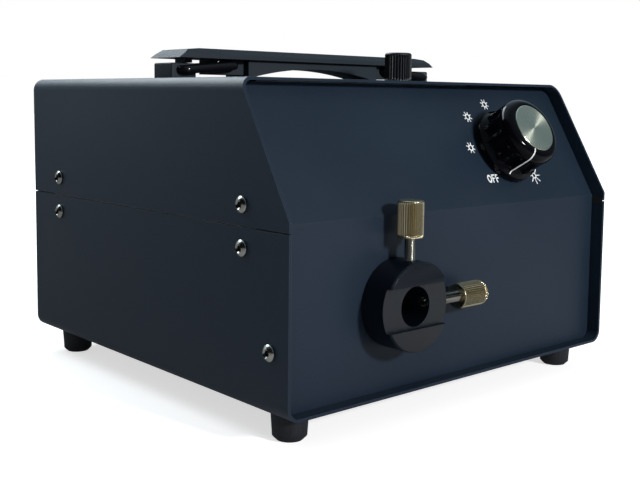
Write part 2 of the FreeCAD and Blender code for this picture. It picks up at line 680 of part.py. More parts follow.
outer, inner = shell("upper", "bottom + seam_height + seam_gap", "top", False)
wedge = padded("front_wedge", "YZ_Plane", [("front - overrun", "bottom + fold_height"),
                                           ("front", "bottom + fold_height"), ("front + setback", "top"),
                                           ("front + setback", "top + overrun"),
                                           ("front - overrun", "top + overrun")], "box_width + overrun")
hatch_opening = block("hatch_opening", ("-hatch_left - hatch_gap", "hatch_right + hatch_gap"),
                      ("front + hatch_front - hatch_gap", "front + hatch_back + hatch_gap"),
                      ("ceiling - overrun", "top + overrun"))
BASE_SCREWS = [("%s * base_screw_x" % x, "handle_y + %s * base_screw_y" % y)
               for x in (-1, 1) for y in (-1, 1)]
base_holes = [rod("base_hole_%d" % place, "z", spot, ("ceiling - overrun", "top + overrun"),
                  "base_screw_radius")
              for place, spot in enumerate(BASE_SCREWS)]
cut("upper_cover", outer, inner, wedge, hatch_opening,
    *side_holes("upper_hole", "screw_hole_radius", (0, 1)), *base_holes)

for side, near, far in (("left", "-half + skin", "-half + skin + rail_sheet"),
                        ("right", "half - skin - rail_sheet", "half - skin")):
    rail = block("rail_%s" % side, (near, far),
                 ("front + side_screw_front - rail_margin + overrun / 2",
                  "rear - side_screw_rear + rail_margin"),
                 ("bottom + lower_screw_height - rail_margin", "bottom + upper_screw_height + rail_margin"))
    cut("side_rail_%s" % side, rail, *side_holes("rail_hole_%s" % side, "screw_radius", (0, 1, 2, 3)))


def inner_space(label):
    """The room inside the covers, with the corners that their bends leave."""
    room = block(label + "_room", ("-panel_half", "panel_half"), ("front", "rear"), ("floor", "panel_high"))
    return soften(label, room, "bend_radius - skin", along("y"))


slope_top = "panel_front + (panel_high - panel_fold) * tan(slope)"
slope_top_back = "panel_back + (panel_high - panel_fold_back) * tan(slope)"
folded = padded("front_folded", "YZ_Plane",
                [("panel_front", "floor"), ("panel_front", "panel_fold"), (slope_top, "panel_high"),
                 (slope_top_back, "panel_high"), ("panel_back", "panel_fold_back"), ("panel_back", "floor")],
                "panel_half * 2")
flange_run = ("panel_front", "panel_front + flange_depth")
flanges = [block("flange_left", ("-panel_half", "-panel_half + panel_sheet"), flange_run,
                 ("floor", "panel_fold_back - flange_depth / 2")),
           block("flange_right", ("panel_half - panel_sheet", "panel_half"), flange_run,
                 ("floor", "panel_fold_back - flange_depth / 2")),
           block("flange_low", ("-panel_half", "panel_half"), flange_run, ("floor", "floor + panel_sheet"))]
front_raw = common("front_trimmed", join("front_formed", folded, *flanges), inner_space("front_room"))
port_hole = rod("port_hole", "y", ("port_x", "port_z"), ("front", "panel_front + flange_depth"),
                "spigot_radius")
bush_hole = on_slope(bind(add("Part::Cylinder", "bush_hole"), Radius="bush_radius + bush_hole_clearance",
                          Height="panel_sheet + overrun * 2"))
bind(bush_hole, Placement_Base_y="dial_y + (panel_sheet + overrun) * cos(slope)",
     Placement_Base_z="dial_z - (panel_sheet + overrun) * sin(slope)")
cut("front_panel", front_raw, port_hole, bush_hole, *foot_holes,
    *side_holes("toe_hole", "screw_radius", (4,)))

rear_formed = join("rear_formed", block("rear_sheet", ("-panel_half", "panel_half"),
                                        ("rear_inside", "rear_face"),
                                        ("floor", "panel_high")),
                   block("rear_foot", ("-panel_half", "panel_half"),
                         ("rear_inside - rear_flange", "rear_face"),
                         ("floor", "floor + panel_sheet")))
rear_blank = common("rear_trimmed", rear_formed, inner_space("rear_room"))
CORNERS = [(x, z) for x in (-1, 1) for z in (-1, 1)]
FAN_SCREWS = [("fan_x + %s * fan_hole_pitch / 2" % x, "fan_axis_z + %s * fan_hole_pitch / 2" % z)
              for x, z in CORNERS]
rear_run = ("rear_inside - overrun", "rear_face + overrun")
INLET_SCREWS = [("inlet_x + %s * inlet_screw_pitch / 2" % x, "inlet_axis_z") for x in (-1, 1)]
rear_holes = [rod("fan_window", "y", ("fan_x", "fan_axis_z"), rear_run, "fan_bore_radius")]
rear_holes += [rod("fan_hole_%d" % place, "y", spot, rear_run, "fan_screw_radius")
               for place, spot in enumerate(FAN_SCREWS)]
rear_holes += [block("inlet_window", ("inlet_x - inlet_body_width / 2", "inlet_x + inlet_body_width / 2"),
                     rear_run,
                     ("inlet_axis_z - inlet_body_height / 2", "inlet_axis_z + inlet_body_height / 2"))]
rear_holes += [rod("inlet_hole_%d" % place, "y", spot, rear_run, "inlet_screw_radius")
               for place, spot in enumerate(INLET_SCREWS)]
cut("rear_panel", rear_blank, *foot_holes, *rear_holes)

# Cover screws: the shank runs down from the head's underside at the origin
screw_body = turned("cover_screw_body", [("0", "-screw_length"), ("screw_radius", "-screw_length"),
                                         ("screw_radius", "0"), ("screw_head_radius", "0"),
                                         ("screw_head_radius", "screw_head_height - screw_head_bevel"),
                                         ("screw_head_radius - screw_head_bevel", "screw_head_height"),
                                         ("0", "screw_head_height")])
hex_tool = bind(add("Part::Prism", "hex_tool"), Circumradius="hex_radius", Height="hex_depth + overrun",
                Placement_Base_z="screw_head_height - hex_depth")
cover_screw = cut("cover_screw", screw_body, hex_tool)
doc.recompute()
LEFTWARD = (FreeCAD.Vector(0, 1, 0), -90)
copies("cover_screws", cover_screw,
       [(x, y, z, turn) for x, turn in (("half", TURNS["x"]), ("-half", LEFTWARD)) for y, z in SIDE_SCREWS])

# Feet, their screws from below and their nuts inside
foot = turned("foot", [("foot_screw_radius", "foot_height"), ("foot_radius", "foot_height"),
                       ("foot_tip_radius", "foot_edge"), ("foot_tip_radius - foot_edge", "0"),
                       ("foot_recess_radius", "0"), ("foot_recess_radius", "foot_recess_depth"),
                       ("foot_screw_radius", "foot_recess_depth")])
copies("rubber_feet", foot, [(x, y, "0") for x, y in FOOT_PLACES])
foot_screw = turned("foot_screw", [("0", "foot_recess_depth - foot_head_height"),
                                   ("foot_head_radius - foot_edge / 2",
                                    "foot_recess_depth - foot_head_height"),
                                   ("foot_head_radius",
                                    "foot_recess_depth - foot_head_height + foot_edge / 2"),
                                   ("foot_head_radius", "foot_recess_depth"),
                                   ("foot_screw_radius", "foot_recess_depth"),
                                   ("foot_screw_radius", "nut_z + foot_nut_height + foot_screw_tail"),
                                   ("0", "nut_z + foot_nut_height + foot_screw_tail")])
copies("foot_screws", foot_screw, [(x, y, "0") for x, y in FOOT_PLACES])
foot_nut = cut("foot_nut", bind(add("Part::Prism", "foot_nut_hex"), Circumradius="foot_nut_radius",
                                Height="foot_nut_height"),
               bind(add("Part::Cylinder", "foot_nut_hole"), Radius="foot_screw_radius",
                    Height="foot_nut_height"))
doc.recompute()
copies("foot_nuts", foot_nut, [(x, y, "nut_z") for x, y in FOOT_PLACES])

# Light guide port: a boss with a slot across its face, a bore and two threaded holes
boss = soften("port_boss", rod("port_blank", "y", ("port_x", "port_z"), ("port_face", "panel_front"),
                               "port_radius"),
              "port_bevel",
              lambda edge: edge.CenterOfMass.y < number("port_face + overrun") and len(edge.Vertexes) == 1,
              "Part::Chamfer")
spigot = rod("port_spigot", "y", ("port_x", "port_z"), ("panel_front", "panel_front + spigot_length"),
             "spigot_radius")
slot = block("port_slot", ("port_x - port_radius - overrun", "port_x + port_radius + overrun"),
             ("port_face - overrun", "port_face + port_slot_depth"),
             ("port_z - port_slot_height / 2", "port_z + port_slot_height / 2"))
bore = rod("port_bore", "y", ("port_x", "port_z"),
           ("port_face - overrun", "panel_front + spigot_length + overrun"),
           "port_bore_radius")
stud_hole = "lock_stud_radius + thread_clearance"
top_hole = rod("top_lock_hole", "z", ("port_x", "lock_y"), ("port_z", "port_z + port_radius + overrun"),
               stud_hole)
side_hole = rod("side_lock_hole", "x", ("lock_y", "port_z"), ("port_x", "port_x + port_radius + overrun"),
                stud_hole)
cut("light_port", join("port_body", boss, spigot), slot, bore, top_hole, side_hole)
ring_run = ("panel_back", "panel_back + ring_nut_height")
cut("port_ring_nut", rod("ring_blank", "y", ("port_x", "port_z"), ring_run,
                         "ring_nut_radius"),
    rod("ring_hole", "y", ("port_x", "port_z"), ring_run, "spigot_radius"))


def thumb_screw(name, stud_radius, stud_length, grip, head_radius, head_height, bevel, grooves, tip):
    """A stud and its knurled head, made along +Z with the head's underside at the origin."""
    tip_radius, tip_length = tip
    stud = turned(name + "_stud", [("0", "-(%s)" % stud_length), (tip_radius, "-(%s)" % stud_length),
                                   (tip_radius, "-(%s) + %s" % (stud_length, tip_length)),
                                   (stud_radius, "-(%s) + %s" % (stud_length, tip_length)),
                                   (stud_radius, grip), ("0", grip)])
    bore_radius = stud_radius + " + thread_clearance"
    bore_end = grip + " + thread_clearance"
    head = turned(name + "_head", [(bore_radius, "0"), ("%s - %s" % (head_radius, bevel), "0"),
                                   (head_radius, bevel),
                                   (head_radius, "%s - %s" % (head_height, bevel)),
                                   ("%s - %s" % (head_radius, bevel), head_height), ("0", head_height),
                                   ("0", bore_end), (bore_radius, bore_end)])
    depth, radius, count = grooves
    return stud, grooved(head, head_radius, depth, radius, count, "-overrun")


LOCK_HEAD = ("lock_head_radius", "lock_head_height", "lock_head_bevel",
             ("knurl_depth", "knurl_radius", "knurl_count"),
             ("lock_tip_radius", "lock_tip_length"))
port_wall = "port_radius - port_bore_radius - lock_tip_recess"
pieces = thumb_screw("top_lock", "lock_stud_radius", port_wall + " + top_lock_gap", "lock_grip_depth",
                     *LOCK_HEAD)
for piece in pieces:
    put(piece, "port_x", "lock_y", "port_z + port_radius + top_lock_gap")
pieces = thumb_screw("side_lock", "lock_stud_radius", port_wall + " + side_lock_gap", "lock_grip_depth",
                     *LOCK_HEAD)
for piece in pieces:
    put(piece, "port_x + port_radius + side_lock_gap", "lock_y", "port_z", "x")

# Lamp hatch: a plate with a hinge knuckle, its frame under the cover, the hinge pin and the hatch screw
hatch_run = ("front + hatch_front", "front + hatch_back")
hatch_levels = ("ceiling + hatch_lift", "top")
knuckle_run = ("front + hatch_front + knuckle_width + knuckle_gap",
               "front + hatch_back - knuckle_width - knuckle_gap")
plate = block("hatch_plate", ("hinge_x + knuckle_radius + knuckle_gap", "hatch_right"), hatch_run,
              hatch_levels)
tongue = block("hatch_tongue", ("hinge_x", "hinge_x + knuckle_radius * 2"), knuckle_run, hatch_levels)
barrel = rod("hatch_barrel", "y", ("hinge_x", "hinge_z"), knuckle_run, "knuckle_radius")
pin_hole = rod("hatch_pin_hole", "y", ("hinge_x", "hinge_z"), hatch_run,
               "hinge_pin_radius + thread_clearance")
stud_pass = rod("hatch_stud_hole", "z", ("hatch_screw_x", "front + hatch_screw_front"),
                ("ceiling - overrun", "top + overrun"), "hatch_stud_radius + thread_clearance")
cut("lamp_hatch", join("hatch_body", plate, tongue, barrel), pin_hole, stud_pass)
ledge_levels = ("ceiling - ledge_sheet", "ceiling")
ledge = block("ledge_blank", ("-hatch_left - frame_margin", "hatch_right + frame_margin"),
              ("front + hatch_front - frame_margin", "front + hatch_back + frame_margin"), ledge_levels)
ledge_window = block("ledge_window", ("-hatch_left - hatch_gap",
                                      "hatch_screw_x - hatch_boss_radius - hatch_ledge"),
                     ("front + hatch_front + hatch_ledge", "front + hatch_back - hatch_ledge"),
                     ("ceiling - knuckle_radius * 2", "ceiling + overrun"))
hinge_slot = block("hinge_slot", ("-hatch_left - hatch_gap", "hinge_x + knuckle_radius + knuckle_gap"),
                   ("front + hatch_front", "front + hatch_back"),
                   ("ceiling - knuckle_radius * 2", "ceiling + overrun"))
ends = []
for name, near, far in (("front", "front + hatch_front", "front + hatch_front + knuckle_width"),
                        ("back", "front + hatch_back - knuckle_width", "front + hatch_back")):
    ends.append(rod("knuckle_" + name, "y", ("hinge_x", "hinge_z"), (near, far), "knuckle_radius"))
    ends.append(block("knuckle_web_" + name, ("-hatch_left - frame_margin / 2", "hinge_x"), (near, far),
                      ("hinge_z - knuckle_radius", "ceiling - ledge_sheet / 2")))
boss_levels = ("ceiling - ledge_sheet - hatch_boss_height", "ceiling - ledge_sheet")
hatch_boss = rod("hatch_boss", "z", ("hatch_screw_x", "front + hatch_screw_front"), boss_levels,
                 "hatch_boss_radius")
boss_hole = rod("boss_hole", "z", ("hatch_screw_x", "front + hatch_screw_front"),
                ("ceiling - ledge_sheet - hatch_boss_height - overrun", "ceiling + overrun"),
                "hatch_stud_radius + hatch_stud_clearance")
frame_pin_hole = rod("frame_pin_hole", "y", ("hinge_x", "hinge_z"), hatch_run, "hinge_pin_radius")
ledge_body = join("ledge_body", cut("ledge_open", ledge, ledge_window, hinge_slot), hatch_boss, *ends)
cut("hatch_frame", ledge_body, boss_hole, frame_pin_hole)
rod("hatch_hinge_pin", "y", ("hinge_x", "hinge_z"), hatch_run, "hinge_pin_radius")
pieces = thumb_screw("hatch_screw", "hatch_stud_radius", "hatch_stud_length", "hatch_knob_grip",
                     "hatch_knob_radius", "hatch_knob_height", "hatch_knob_bevel",
                     ("rib_depth", "rib_radius", "rib_count"),
                     ("hatch_tip_radius", "hatch_knob_bevel"))
for piece in pieces:
    put(piece, "hatch_screw_x", "front + hatch_screw_front", "top + hatch_knob_gap")

# Dimmer: everything stands on the sloped panel, whose face is at height nought
knob_body = turned("knob_body", [("shaft_radius", "hollow_height"), ("hollow_radius", "hollow_height"),
                                 ("hollow_radius", "knob_gap"), ("skirt_radius", "knob_gap"),
                                 ("skirt_radius", "knob_gap + skirt_height"),
                                 ("grip_radius", "knob_gap + skirt_height + skirt_bevel"),
                                 ("grip_radius", "knob_height - crown_height"),
                                 ("crown_radius", "knob_height"),
                                 ("cap_radius", "knob_height"), ("cap_radius", "knob_height - cap_sink"),
                                 ("0", "knob_height - cap_sink"), ("0", "shaft_reach"),
                                 ("shaft_radius", "shaft_reach")])
grooved(knob_body, "grip_radius", "flute_depth", "flute_radius", "flute_count",
        "knob_gap + skirt_height + skirt_bevel")
set_hole = rod("set_screw_hole", "x", ("0", "set_screw_height"), ("0", "skirt_radius + overrun"),
               "set_screw_radius")
on_slope(cut("dimmer_knob", knob_body, set_hole))
on_slope(turned("knob_cap", [("0", "knob_height - cap_sink"),
                             ("cap_radius", "knob_height - cap_sink"),
                             ("cap_radius", "knob_height"),
                             ("cap_radius - cap_proud", "knob_height + cap_proud"),
                             ("0", "knob_height + cap_proud")]))
on_slope(turned("pot_shaft", [("0", "-panel_sheet - shaft_depth"),
                              ("shaft_radius", "-panel_sheet - shaft_depth"),
                              ("shaft_radius", "shaft_reach"), ("0", "shaft_reach")]))
set_bar = rod("set_screw_bar", "x", ("0", "set_screw_height"),
              ("shaft_radius", "shaft_radius + set_screw_length"), "set_screw_radius")
set_shaft = bind(add("Part::Cylinder", "set_shaft"), Radius="shaft_radius", Height="shaft_reach")
on_slope(cut("knob_set_screw", set_bar, set_shaft))
can = turned("pot_can", [("shaft_radius + shaft_clearance", "bush_height"), ("bush_radius", "bush_height"),
                         ("bush_radius", "-panel_sheet"), ("pot_radius", "-panel_sheet"),
                         ("pot_radius", "-panel_sheet - pot_depth"), ("0", "-panel_sheet - pot_depth"),
                         ("0", "-panel_sheet - shaft_depth - shaft_clearance"),
                         ("shaft_radius + shaft_clearance", "-panel_sheet - shaft_depth - shaft_clearance")])
tabs = [block("pot_tab_%d" % place,
              ("tab_pitch * %d - tab_width / 2" % place, "tab_pitch * %d + tab_width / 2" % place),
              ("-pot_radius - tab_length / 2", "-pot_radius + tab_length / 2"),
              ("-panel_sheet - pot_depth / 2", "-panel_sheet - pot_depth / 2 + tab_sheet"))
        for place in (-1, 0, 1)]
on_slope(join("dimmer_pot", can, *tabs))
on_slope(cut("pot_nut", bind(add("Part::Prism", "pot_nut_hex"), Circumradius="pot_nut_radius",
                             Height="pot_nut_height"),
             bind(add("Part::Cylinder", "pot_nut_hole"), Radius="bush_radius",
                  Height="pot_nut_height")))

# Handle: a grip that lifts on two wire bails, and the base blocks that hold the bails
grip_outline = [("-grip_half", "top + grip_under"),
                ("-grip_half + grip_shoulder", "top + grip_top - grip_brow_drop"),
                ("-grip_half + grip_shoulder + grip_brow", "top + grip_top"),
                ("grip_half - grip_shoulder - grip_brow", "top + grip_top"),
                ("grip_half - grip_shoulder", "top + grip_top - grip_brow_drop"),
                ("grip_half", "top + grip_under")]
grip_plate = put(padded("grip_plate", "XZ_Plane", grip_outline, "grip_width"), y="handle_y")
grip_section = [("-grip_width / 2", "top + grip_under"),
                ("-grip_width / 2", "top + grip_top - grip_edge"),
                ("-grip_width / 2 + grip_edge", "top + grip_top"),
                ("grip_width / 2 - grip_edge", "top + grip_top"),
                ("grip_width / 2", "top + grip_top - grip_edge"),
                ("grip_width / 2", "top + grip_under")]
grip_bevels = put(padded("grip_bevels", "YZ_Plane", grip_section, "2 * grip_half"), y="handle_y")
grip_soft = common("grip_plate_soft", grip_plate, grip_bevels)
arch_rise = "(arch_height - web_gap)"
arch = "(arch_half * arch_half + %s * %s) / (2 * %s)" % (arch_rise, arch_rise, arch_rise)
web = block("grip_web", ("-web_half", "web_half"), ("handle_y - web_width / 2", "handle_y + web_width / 2"),
            ("top + web_gap", "top + grip_under"))
arch_tool = rod("grip_arch", "y", ("0", "top + arch_height - " + arch),
                ("handle_y - web_width / 2 - overrun", "handle_y + web_width / 2 + overrun"), arch)
grip_pieces = [grip_soft, cut("grip_web_arched", web, arch_tool)]
slots = []
bar_end_x = "(bail_pivot_x - sqrt(bail_reach * bail_reach - bail_rise * bail_rise))"
bar_end_z = "top + bail_pivot_height + bail_rise"
slot_half = "(bail_radius + slot_play)"
for side, sign in (("left", "-1"), ("right", "1")):
    def across(label, near, far, width, levels):
        """A block under the grip between two distances from the middle, on this side."""
        ends = (near, far) if sign == "1" else ("-(%s)" % far, "-(%s)" % near)
        return block(label + "_" + side, ends, ("handle_y - %s / 2" % width, "handle_y + %s / 2" % width),
                     levels)
    grip_pieces.append(across("grip_lug", "web_half", "web_half + lug_length", "lug_width",
                              ("top + lug_drop", "top + grip_under")))
    grip_pieces.append(across("grip_rib", "rib_place - rib_width / 2", "rib_place + rib_width / 2",
                              "rib_across",
                              ("top + grip_under - rib_drop", "top + grip_under")))
    slots.append(across("grip_slot", bar_end_x, bar_end_x + " + slot_travel", "grip_width",
                        (bar_end_z + " - " + slot_half, bar_end_z + " + " + slot_half)))
    for end in ("0", "slot_travel"):
        slots.append(rod("grip_slot_end_%s_%s" % (side, end), "y",
                         ("%s * (%s + %s)" % (sign, bar_end_x, end), bar_end_z),
                         ("handle_y - grip_width / 2", "handle_y + grip_width / 2"), slot_half))
lugged = join("grip_lugged", *grip_pieces)
slot_room = block("slot_room", ("-grip_half", "grip_half"),
                  ("handle_y - lug_width / 2", "handle_y + lug_width / 2"),
                  ("top", "top + grip_under"))
cut("handle_grip", lugged, common("slot_tools", join("slot_bars", *slots), slot_room))


def pipe(label, points, bend, radius, closed):
    """A round wire through corner points, each corner an arc of the bend's radius."""
    spots = [FreeCAD.Vector(*point) for point in points]
    corners = range(len(spots)) if closed else range(1, len(spots) - 1)
    arcs = []
    for place in corners:
        point = spots[place]
        back = (spots[place - 1] - point).normalize()
        ahead = (spots[(place + 1) % len(spots)] - point).normalize()
        reach = bend / math.tan(back.getAngle(ahead) / 2)
        inward = (back + ahead).normalize()
        middle = point + inward * (bend / math.sin(back.getAngle(ahead) / 2) - bend)
        arcs.append((point + back * reach, middle, point + ahead * reach))
    starts = arcs + [arcs[0]] if closed else arcs + [(spots[-1],)]
    edges = [] if closed else [Part.LineSegment(spots[0], arcs[0][0]).toShape()]
    for place, (enter, middle, leave) in enumerate(arcs):
        edges.append(Part.Arc(enter, middle, leave).toShape())
        edges.append(Part.LineSegment(leave, starts[place + 1][0]).toShape())
    path = Part.Wire(edges)
    first = edges[0]
    section = Part.Circle(first.valueAt(first.FirstParameter), first.tangentAt(first.FirstParameter), radius)
    wire = add("Part::Feature", label)
    wire.Shape = path.makePipeShell([Part.Wire([section.toShape()])], True, False)
    if not math.isclose(wire.Shape.Volume, path.Length * math.pi * radius ** 2, rel_tol=0.01):
        raise RuntimeError(label + " isn't as thick as its wire all the way")
    return wire


def bail(label, sign):
    """A closed ring of wire that turns on its outer bar and reaches along X with the given sign."""
    reach, half = number("bail_reach"), number("bail_half")
    corners = [(0, -half, 0), (sign * reach, -half, 0), (sign * reach, half, 0), (0, half, 0)]
    ring = pipe(label, corners, number("bail_bend"), number("bail_radius"), True)
    turn = FreeCAD.Rotation(FreeCAD.Vector(0, -sign, 0), number("bail_rest"))
    ring.Placement = FreeCAD.Placement(FreeCAD.Vector(), turn)
    ring.setExpression("Placement.Rotation.Angle", full("bail_rest"))
    return bind(ring, Placement_Base_x="%d * bail_pivot_x" % -sign, Placement_Base_y="handle_y",
                Placement_Base_z="top + bail_pivot_height")


bail("handle_bail_left", 1)
bail("handle_bail_right", -1)
for side, sign in (("left", "-1"), ("right", "1")):
    far = "(base_start + base_length)"
    ends = ("base_start", far) if sign == "1" else ("-" + far, "-base_start")
    seat = block("base_block_" + side, ends, ("handle_y - base_width / 2", "handle_y + base_width / 2"),
                 ("top", "top + base_height"))
    seat_soft = soften("base_soft_" + side, seat, "base_edge",
                       lambda edge: edge.CenterOfMass.z > number("top + base_edge"))
    pivot_hole = rod("base_pivot_" + side, "y", (sign + " * bail_pivot_x", "top + bail_pivot_height"),
                     ("handle_y - base_width", "handle_y + base_width"), "bail_radius + bail_clearance")
    holes = [rod("base_screw_hole_%s_%s" % (side, y), "z",
                 (sign + " * base_screw_x", "handle_y + %s * base_screw_y" % y),
                 ("top - overrun", "top + base_screw_depth"), "base_screw_radius") for y in (-1, 1)]
    cut("handle_base_" + side, seat_soft, pivot_hole, *holes)
base_screw = turned("base_screw", [("0", "ceiling - base_screw_head_height"),
                                   ("base_screw_head_radius", "ceiling - base_screw_head_height"),
                                   ("base_screw_head_radius", "ceiling"), ("base_screw_radius", "ceiling"),
                                   ("base_screw_radius", "top + base_screw_depth"),
                                   ("0", "top + base_screw_depth")])
copies("handle_screws", base_screw, [(x, y, "0") for x, y in BASE_SCREWS])

# Lamp: reflector, capsule, base with pins, socket and bracket, all on the port's axis
rim = "lamp_rim_radius"
reflector = turned("lamp_reflector", [(rim, "0"), (rim, "lamp_rim_depth"),
                                      ("lamp_waist_radius", "lamp_waist_depth"),
                                      ("lamp_neck_radius", "lamp_neck_start"),
                                      ("lamp_neck_radius", "lamp_neck_end"),
                                      ("lamp_neck_radius - lamp_wall", "lamp_neck_end"),
                                      ("lamp_neck_radius - lamp_wall", "lamp_neck_start - lamp_wall"),
                                      ("lamp_waist_radius - lamp_wall", "lamp_waist_depth - lamp_wall / 2"),
                                      (rim + " - lamp_wall", "0")])
put(reflector, "port_x", "lamp_y", "port_z", "y")
fill = "lamp_neck_radius - lamp_wall"
capsule_end = "lamp_neck_start + capsule_round"
capsule = turned("lamp_capsule", [("0", "capsule_front"), ("capsule_radius - capsule_round", "capsule_front"),
                                  ("capsule_radius", "capsule_front + capsule_round"),
                                  ("capsule_radius", capsule_end),
                                  ("0", capsule_end)])
put(capsule, "port_x", "lamp_y", "port_z", "y")
lamp_base = turned("lamp_base", [("0", capsule_end), ("capsule_radius", capsule_end), (fill, capsule_end),
                                 (fill, "lamp_neck_end"), ("lamp_neck_radius", "lamp_neck_end"),
                                 ("lamp_neck_radius", "lamp_neck_end + base_fill_depth"),
                                 ("0", "lamp_neck_end + base_fill_depth")])
put(lamp_base, "port_x", "lamp_y", "port_z", "y")
pins_start = "lamp_y + lamp_neck_end + base_fill_depth"
PIN_PLACES = ["port_x - pin_pitch / 2", "port_x + pin_pitch / 2"]
LEAD_PLACES = list(zip(PIN_PLACES, ("port_z - lead_pitch / 2", "port_z + lead_pitch / 2")))
group("lamp_pins", *[rod("lamp_pin_%d" % place, "y", (x, "port_z"),
                         (pins_start, pins_start + " + pin_length"),
                         "pin_radius") for place, x in enumerate(PIN_PLACES)])
socket_run = (pins_start, pins_start + " + socket_depth")
socket = block("socket_blank", ("port_x - socket_width / 2", "port_x + socket_width / 2"), socket_run,
               ("port_z - socket_height / 2", "port_z + socket_height / 2"))
pin_holes = [rod("pin_hole_%d" % place, "y", (x, "port_z"),
                 (pins_start + " - overrun", pins_start + " + pin_length + pin_play"),
                 "pin_radius + pin_play") for place, x in enumerate(PIN_PLACES)]
lead_holes = [rod("lead_hole_%d" % place, "y", spot,
                  (pins_start + " + pin_length + pin_play", pins_start + " + socket_depth + overrun"),
                  "lead_radius") for place, spot in enumerate(LEAD_PLACES)]
cut("lamp_socket", socket, *pin_holes, *lead_holes)
socket_back = pins_start + " + socket_depth"
bracket_run = ("lamp_y - bracket_sheet", socket_back)
tray = block("bracket_tray", ("port_x - bracket_half", "port_x + bracket_half"), bracket_run,
             ("floor", "floor + bracket_sheet"))
upright = block("bracket_upright", ("port_x - bracket_half", "port_x + bracket_half"),
                ("lamp_y - bracket_sheet", "lamp_y"), ("floor", "port_z + bracket_rise"))
window = rod("bracket_window_tool", "y", ("port_x", "port_z"),
             ("lamp_y - bracket_sheet - overrun", "lamp_y + overrun"),
             "bracket_window")
post = block("bracket_post", ("port_x - post_half", "port_x + post_half"),
             (socket_back + " - post_depth", socket_back), ("floor", "port_z - socket_height / 2"))
cut("lamp_bracket", join("bracket_body", tray, upright, post), window)

# Heat filter and its holder, between the port and the lamp
filter_back = "front + filter_front + filter_thickness"
put(turned("heat_filter", [("0", "0"), ("filter_radius", "0"), ("filter_radius", "filter_thickness"),
                           ("0", "filter_thickness")]), "port_x", "front + filter_front", "port_z", "y")
holder_run = ("front + filter_front - filter_wall", filter_back)
holder = block("holder_blank", ("port_x - filter_half", "port_x + filter_half"), holder_run,
               ("floor", "port_z + filter_half"))
holder_foot = block("holder_foot", ("port_x - filter_half", "port_x + filter_half"),
                    ("front + filter_front - filter_wall", filter_back + " + holder_foot"),
                    ("floor", "floor + bracket_sheet"))
glass_seat = rod("glass_seat", "y", ("port_x", "port_z"),
                 ("front + filter_front", filter_back + " + overrun"),
                 "filter_radius")
glass_window = rod("glass_window", "y", ("port_x", "port_z"), ("front", filter_back), "filter_window")
cut("filter_holder", join("holder_body", holder, holder_foot), glass_seat, glass_window)

# Fan behind the lamp, its screws and its wire guard
fan_run = ("fan_front", "rear_inside")
fan_square = [("fan_x - fan_size / 2", "fan_x + fan_size / 2"),
              ("fan_axis_z - fan_size / 2", "fan_axis_z + fan_size / 2")]
fan_blank = soften("fan_blank", block("fan_block", fan_square[0], fan_run, fan_square[1]), "guard_eye_radius",
                   along("y"))
fan_bore = rod("fan_bore", "y", ("fan_x", "fan_axis_z"), ("fan_front - overrun", "rear_inside + overrun"),
               "fan_bore_radius")
fan_holes = [rod("fan_frame_hole_%d" % place, "y", spot, ("fan_front - overrun", "rear_inside + overrun"),
                 "fan_screw_radius")
             for place, spot in enumerate(FAN_SCREWS)]
fan_plate_run = ("rear_inside - fan_hub_plate", "rear_inside")
motor_plate = rod("motor_plate", "y", ("fan_x", "fan_axis_z"), fan_plate_run, "fan_hub_radius")
struts = [block("fan_strut_across", fan_square[0], fan_plate_run,
                ("fan_axis_z - fan_strut / 2", "fan_axis_z + fan_strut / 2")),
          block("fan_strut_up", ("fan_x - fan_strut / 2", "fan_x + fan_strut / 2"), fan_plate_run,
                fan_square[1])]
bearing = rod("fan_bearing", "y", ("fan_x", "fan_axis_z"),
              ("rear_inside - fan_hub_plate - overrun",
               "rear_inside - fan_hub_plate + rotor_shaft_length + thread_clearance"),
              "rotor_shaft_radius + thread_clearance")
fan_trimmed = common("fan_spider", join("fan_cross", motor_plate, *struts),
                     block("fan_limits", fan_square[0], fan_run, fan_square[1]))
cut("fan_frame", join("fan_joined", cut("fan_duct", fan_blank, fan_bore, *fan_holes), fan_trimmed), bearing)
hub_depth = "(fan_depth - fan_hub_plate - rotor_gap * 2)"
rotor = turned("fan_rotor", [("0", "0"), ("rotor_hub_radius - rotor_gap", "0"),
                             ("rotor_hub_radius", "rotor_gap"),
                             ("rotor_hub_radius", hub_depth), ("rotor_shaft_radius", hub_depth),
                             ("rotor_shaft_radius", hub_depth + " + rotor_gap + rotor_shaft_length"),
                             ("0", hub_depth + " + rotor_gap + rotor_shaft_length")])
blade_low = "rotor_gap * 2"
blade_high = hub_depth + " - rotor_gap * 2"
blade_sketch = outline(rotor, "YZ_Plane", [("-blade_sweep", blade_low),
                                           ("-blade_sweep + blade_sheet", blade_low),
                                           ("blade_sweep", blade_high),
                                           ("blade_sweep - blade_sheet", blade_high)])
blade = rotor.newObject("PartDesign::Pad", "fan_blade")
blade.Profile = blade_sketch
bind(blade, Length="rotor_radius")
doc.recompute()
blades = rotor.newObject("PartDesign::PolarPattern", "fan_blades")
blades.Originals = [blade]
blades.Axis = (plane(rotor, "Z_Axis"), [""])
blades.Angle = 360
blades.Occurrences = int(number("blade_count"))
rotor.Tip = blades
put(rotor, "fan_x", "fan_front + rotor_gap", "fan_axis_z", "y")
guard_y = "rear + guard_proud - guard_wire"
rings = []
for place in range(int(number("guard_rings"))):
    ring = turn_to(add("Part::Torus", "guard_ring_%d" % place), "y")
    rings.append(bind(ring, Radius1="fan_bore_radius - guard_pitch * %d" % place, Radius2="guard_wire",
                      Placement_Base_x="fan_x", Placement_Base_y=guard_y, Placement_Base_z="fan_axis_z"))
inner_ring = "(fan_bore_radius - guard_pitch * (guard_rings - 1))"
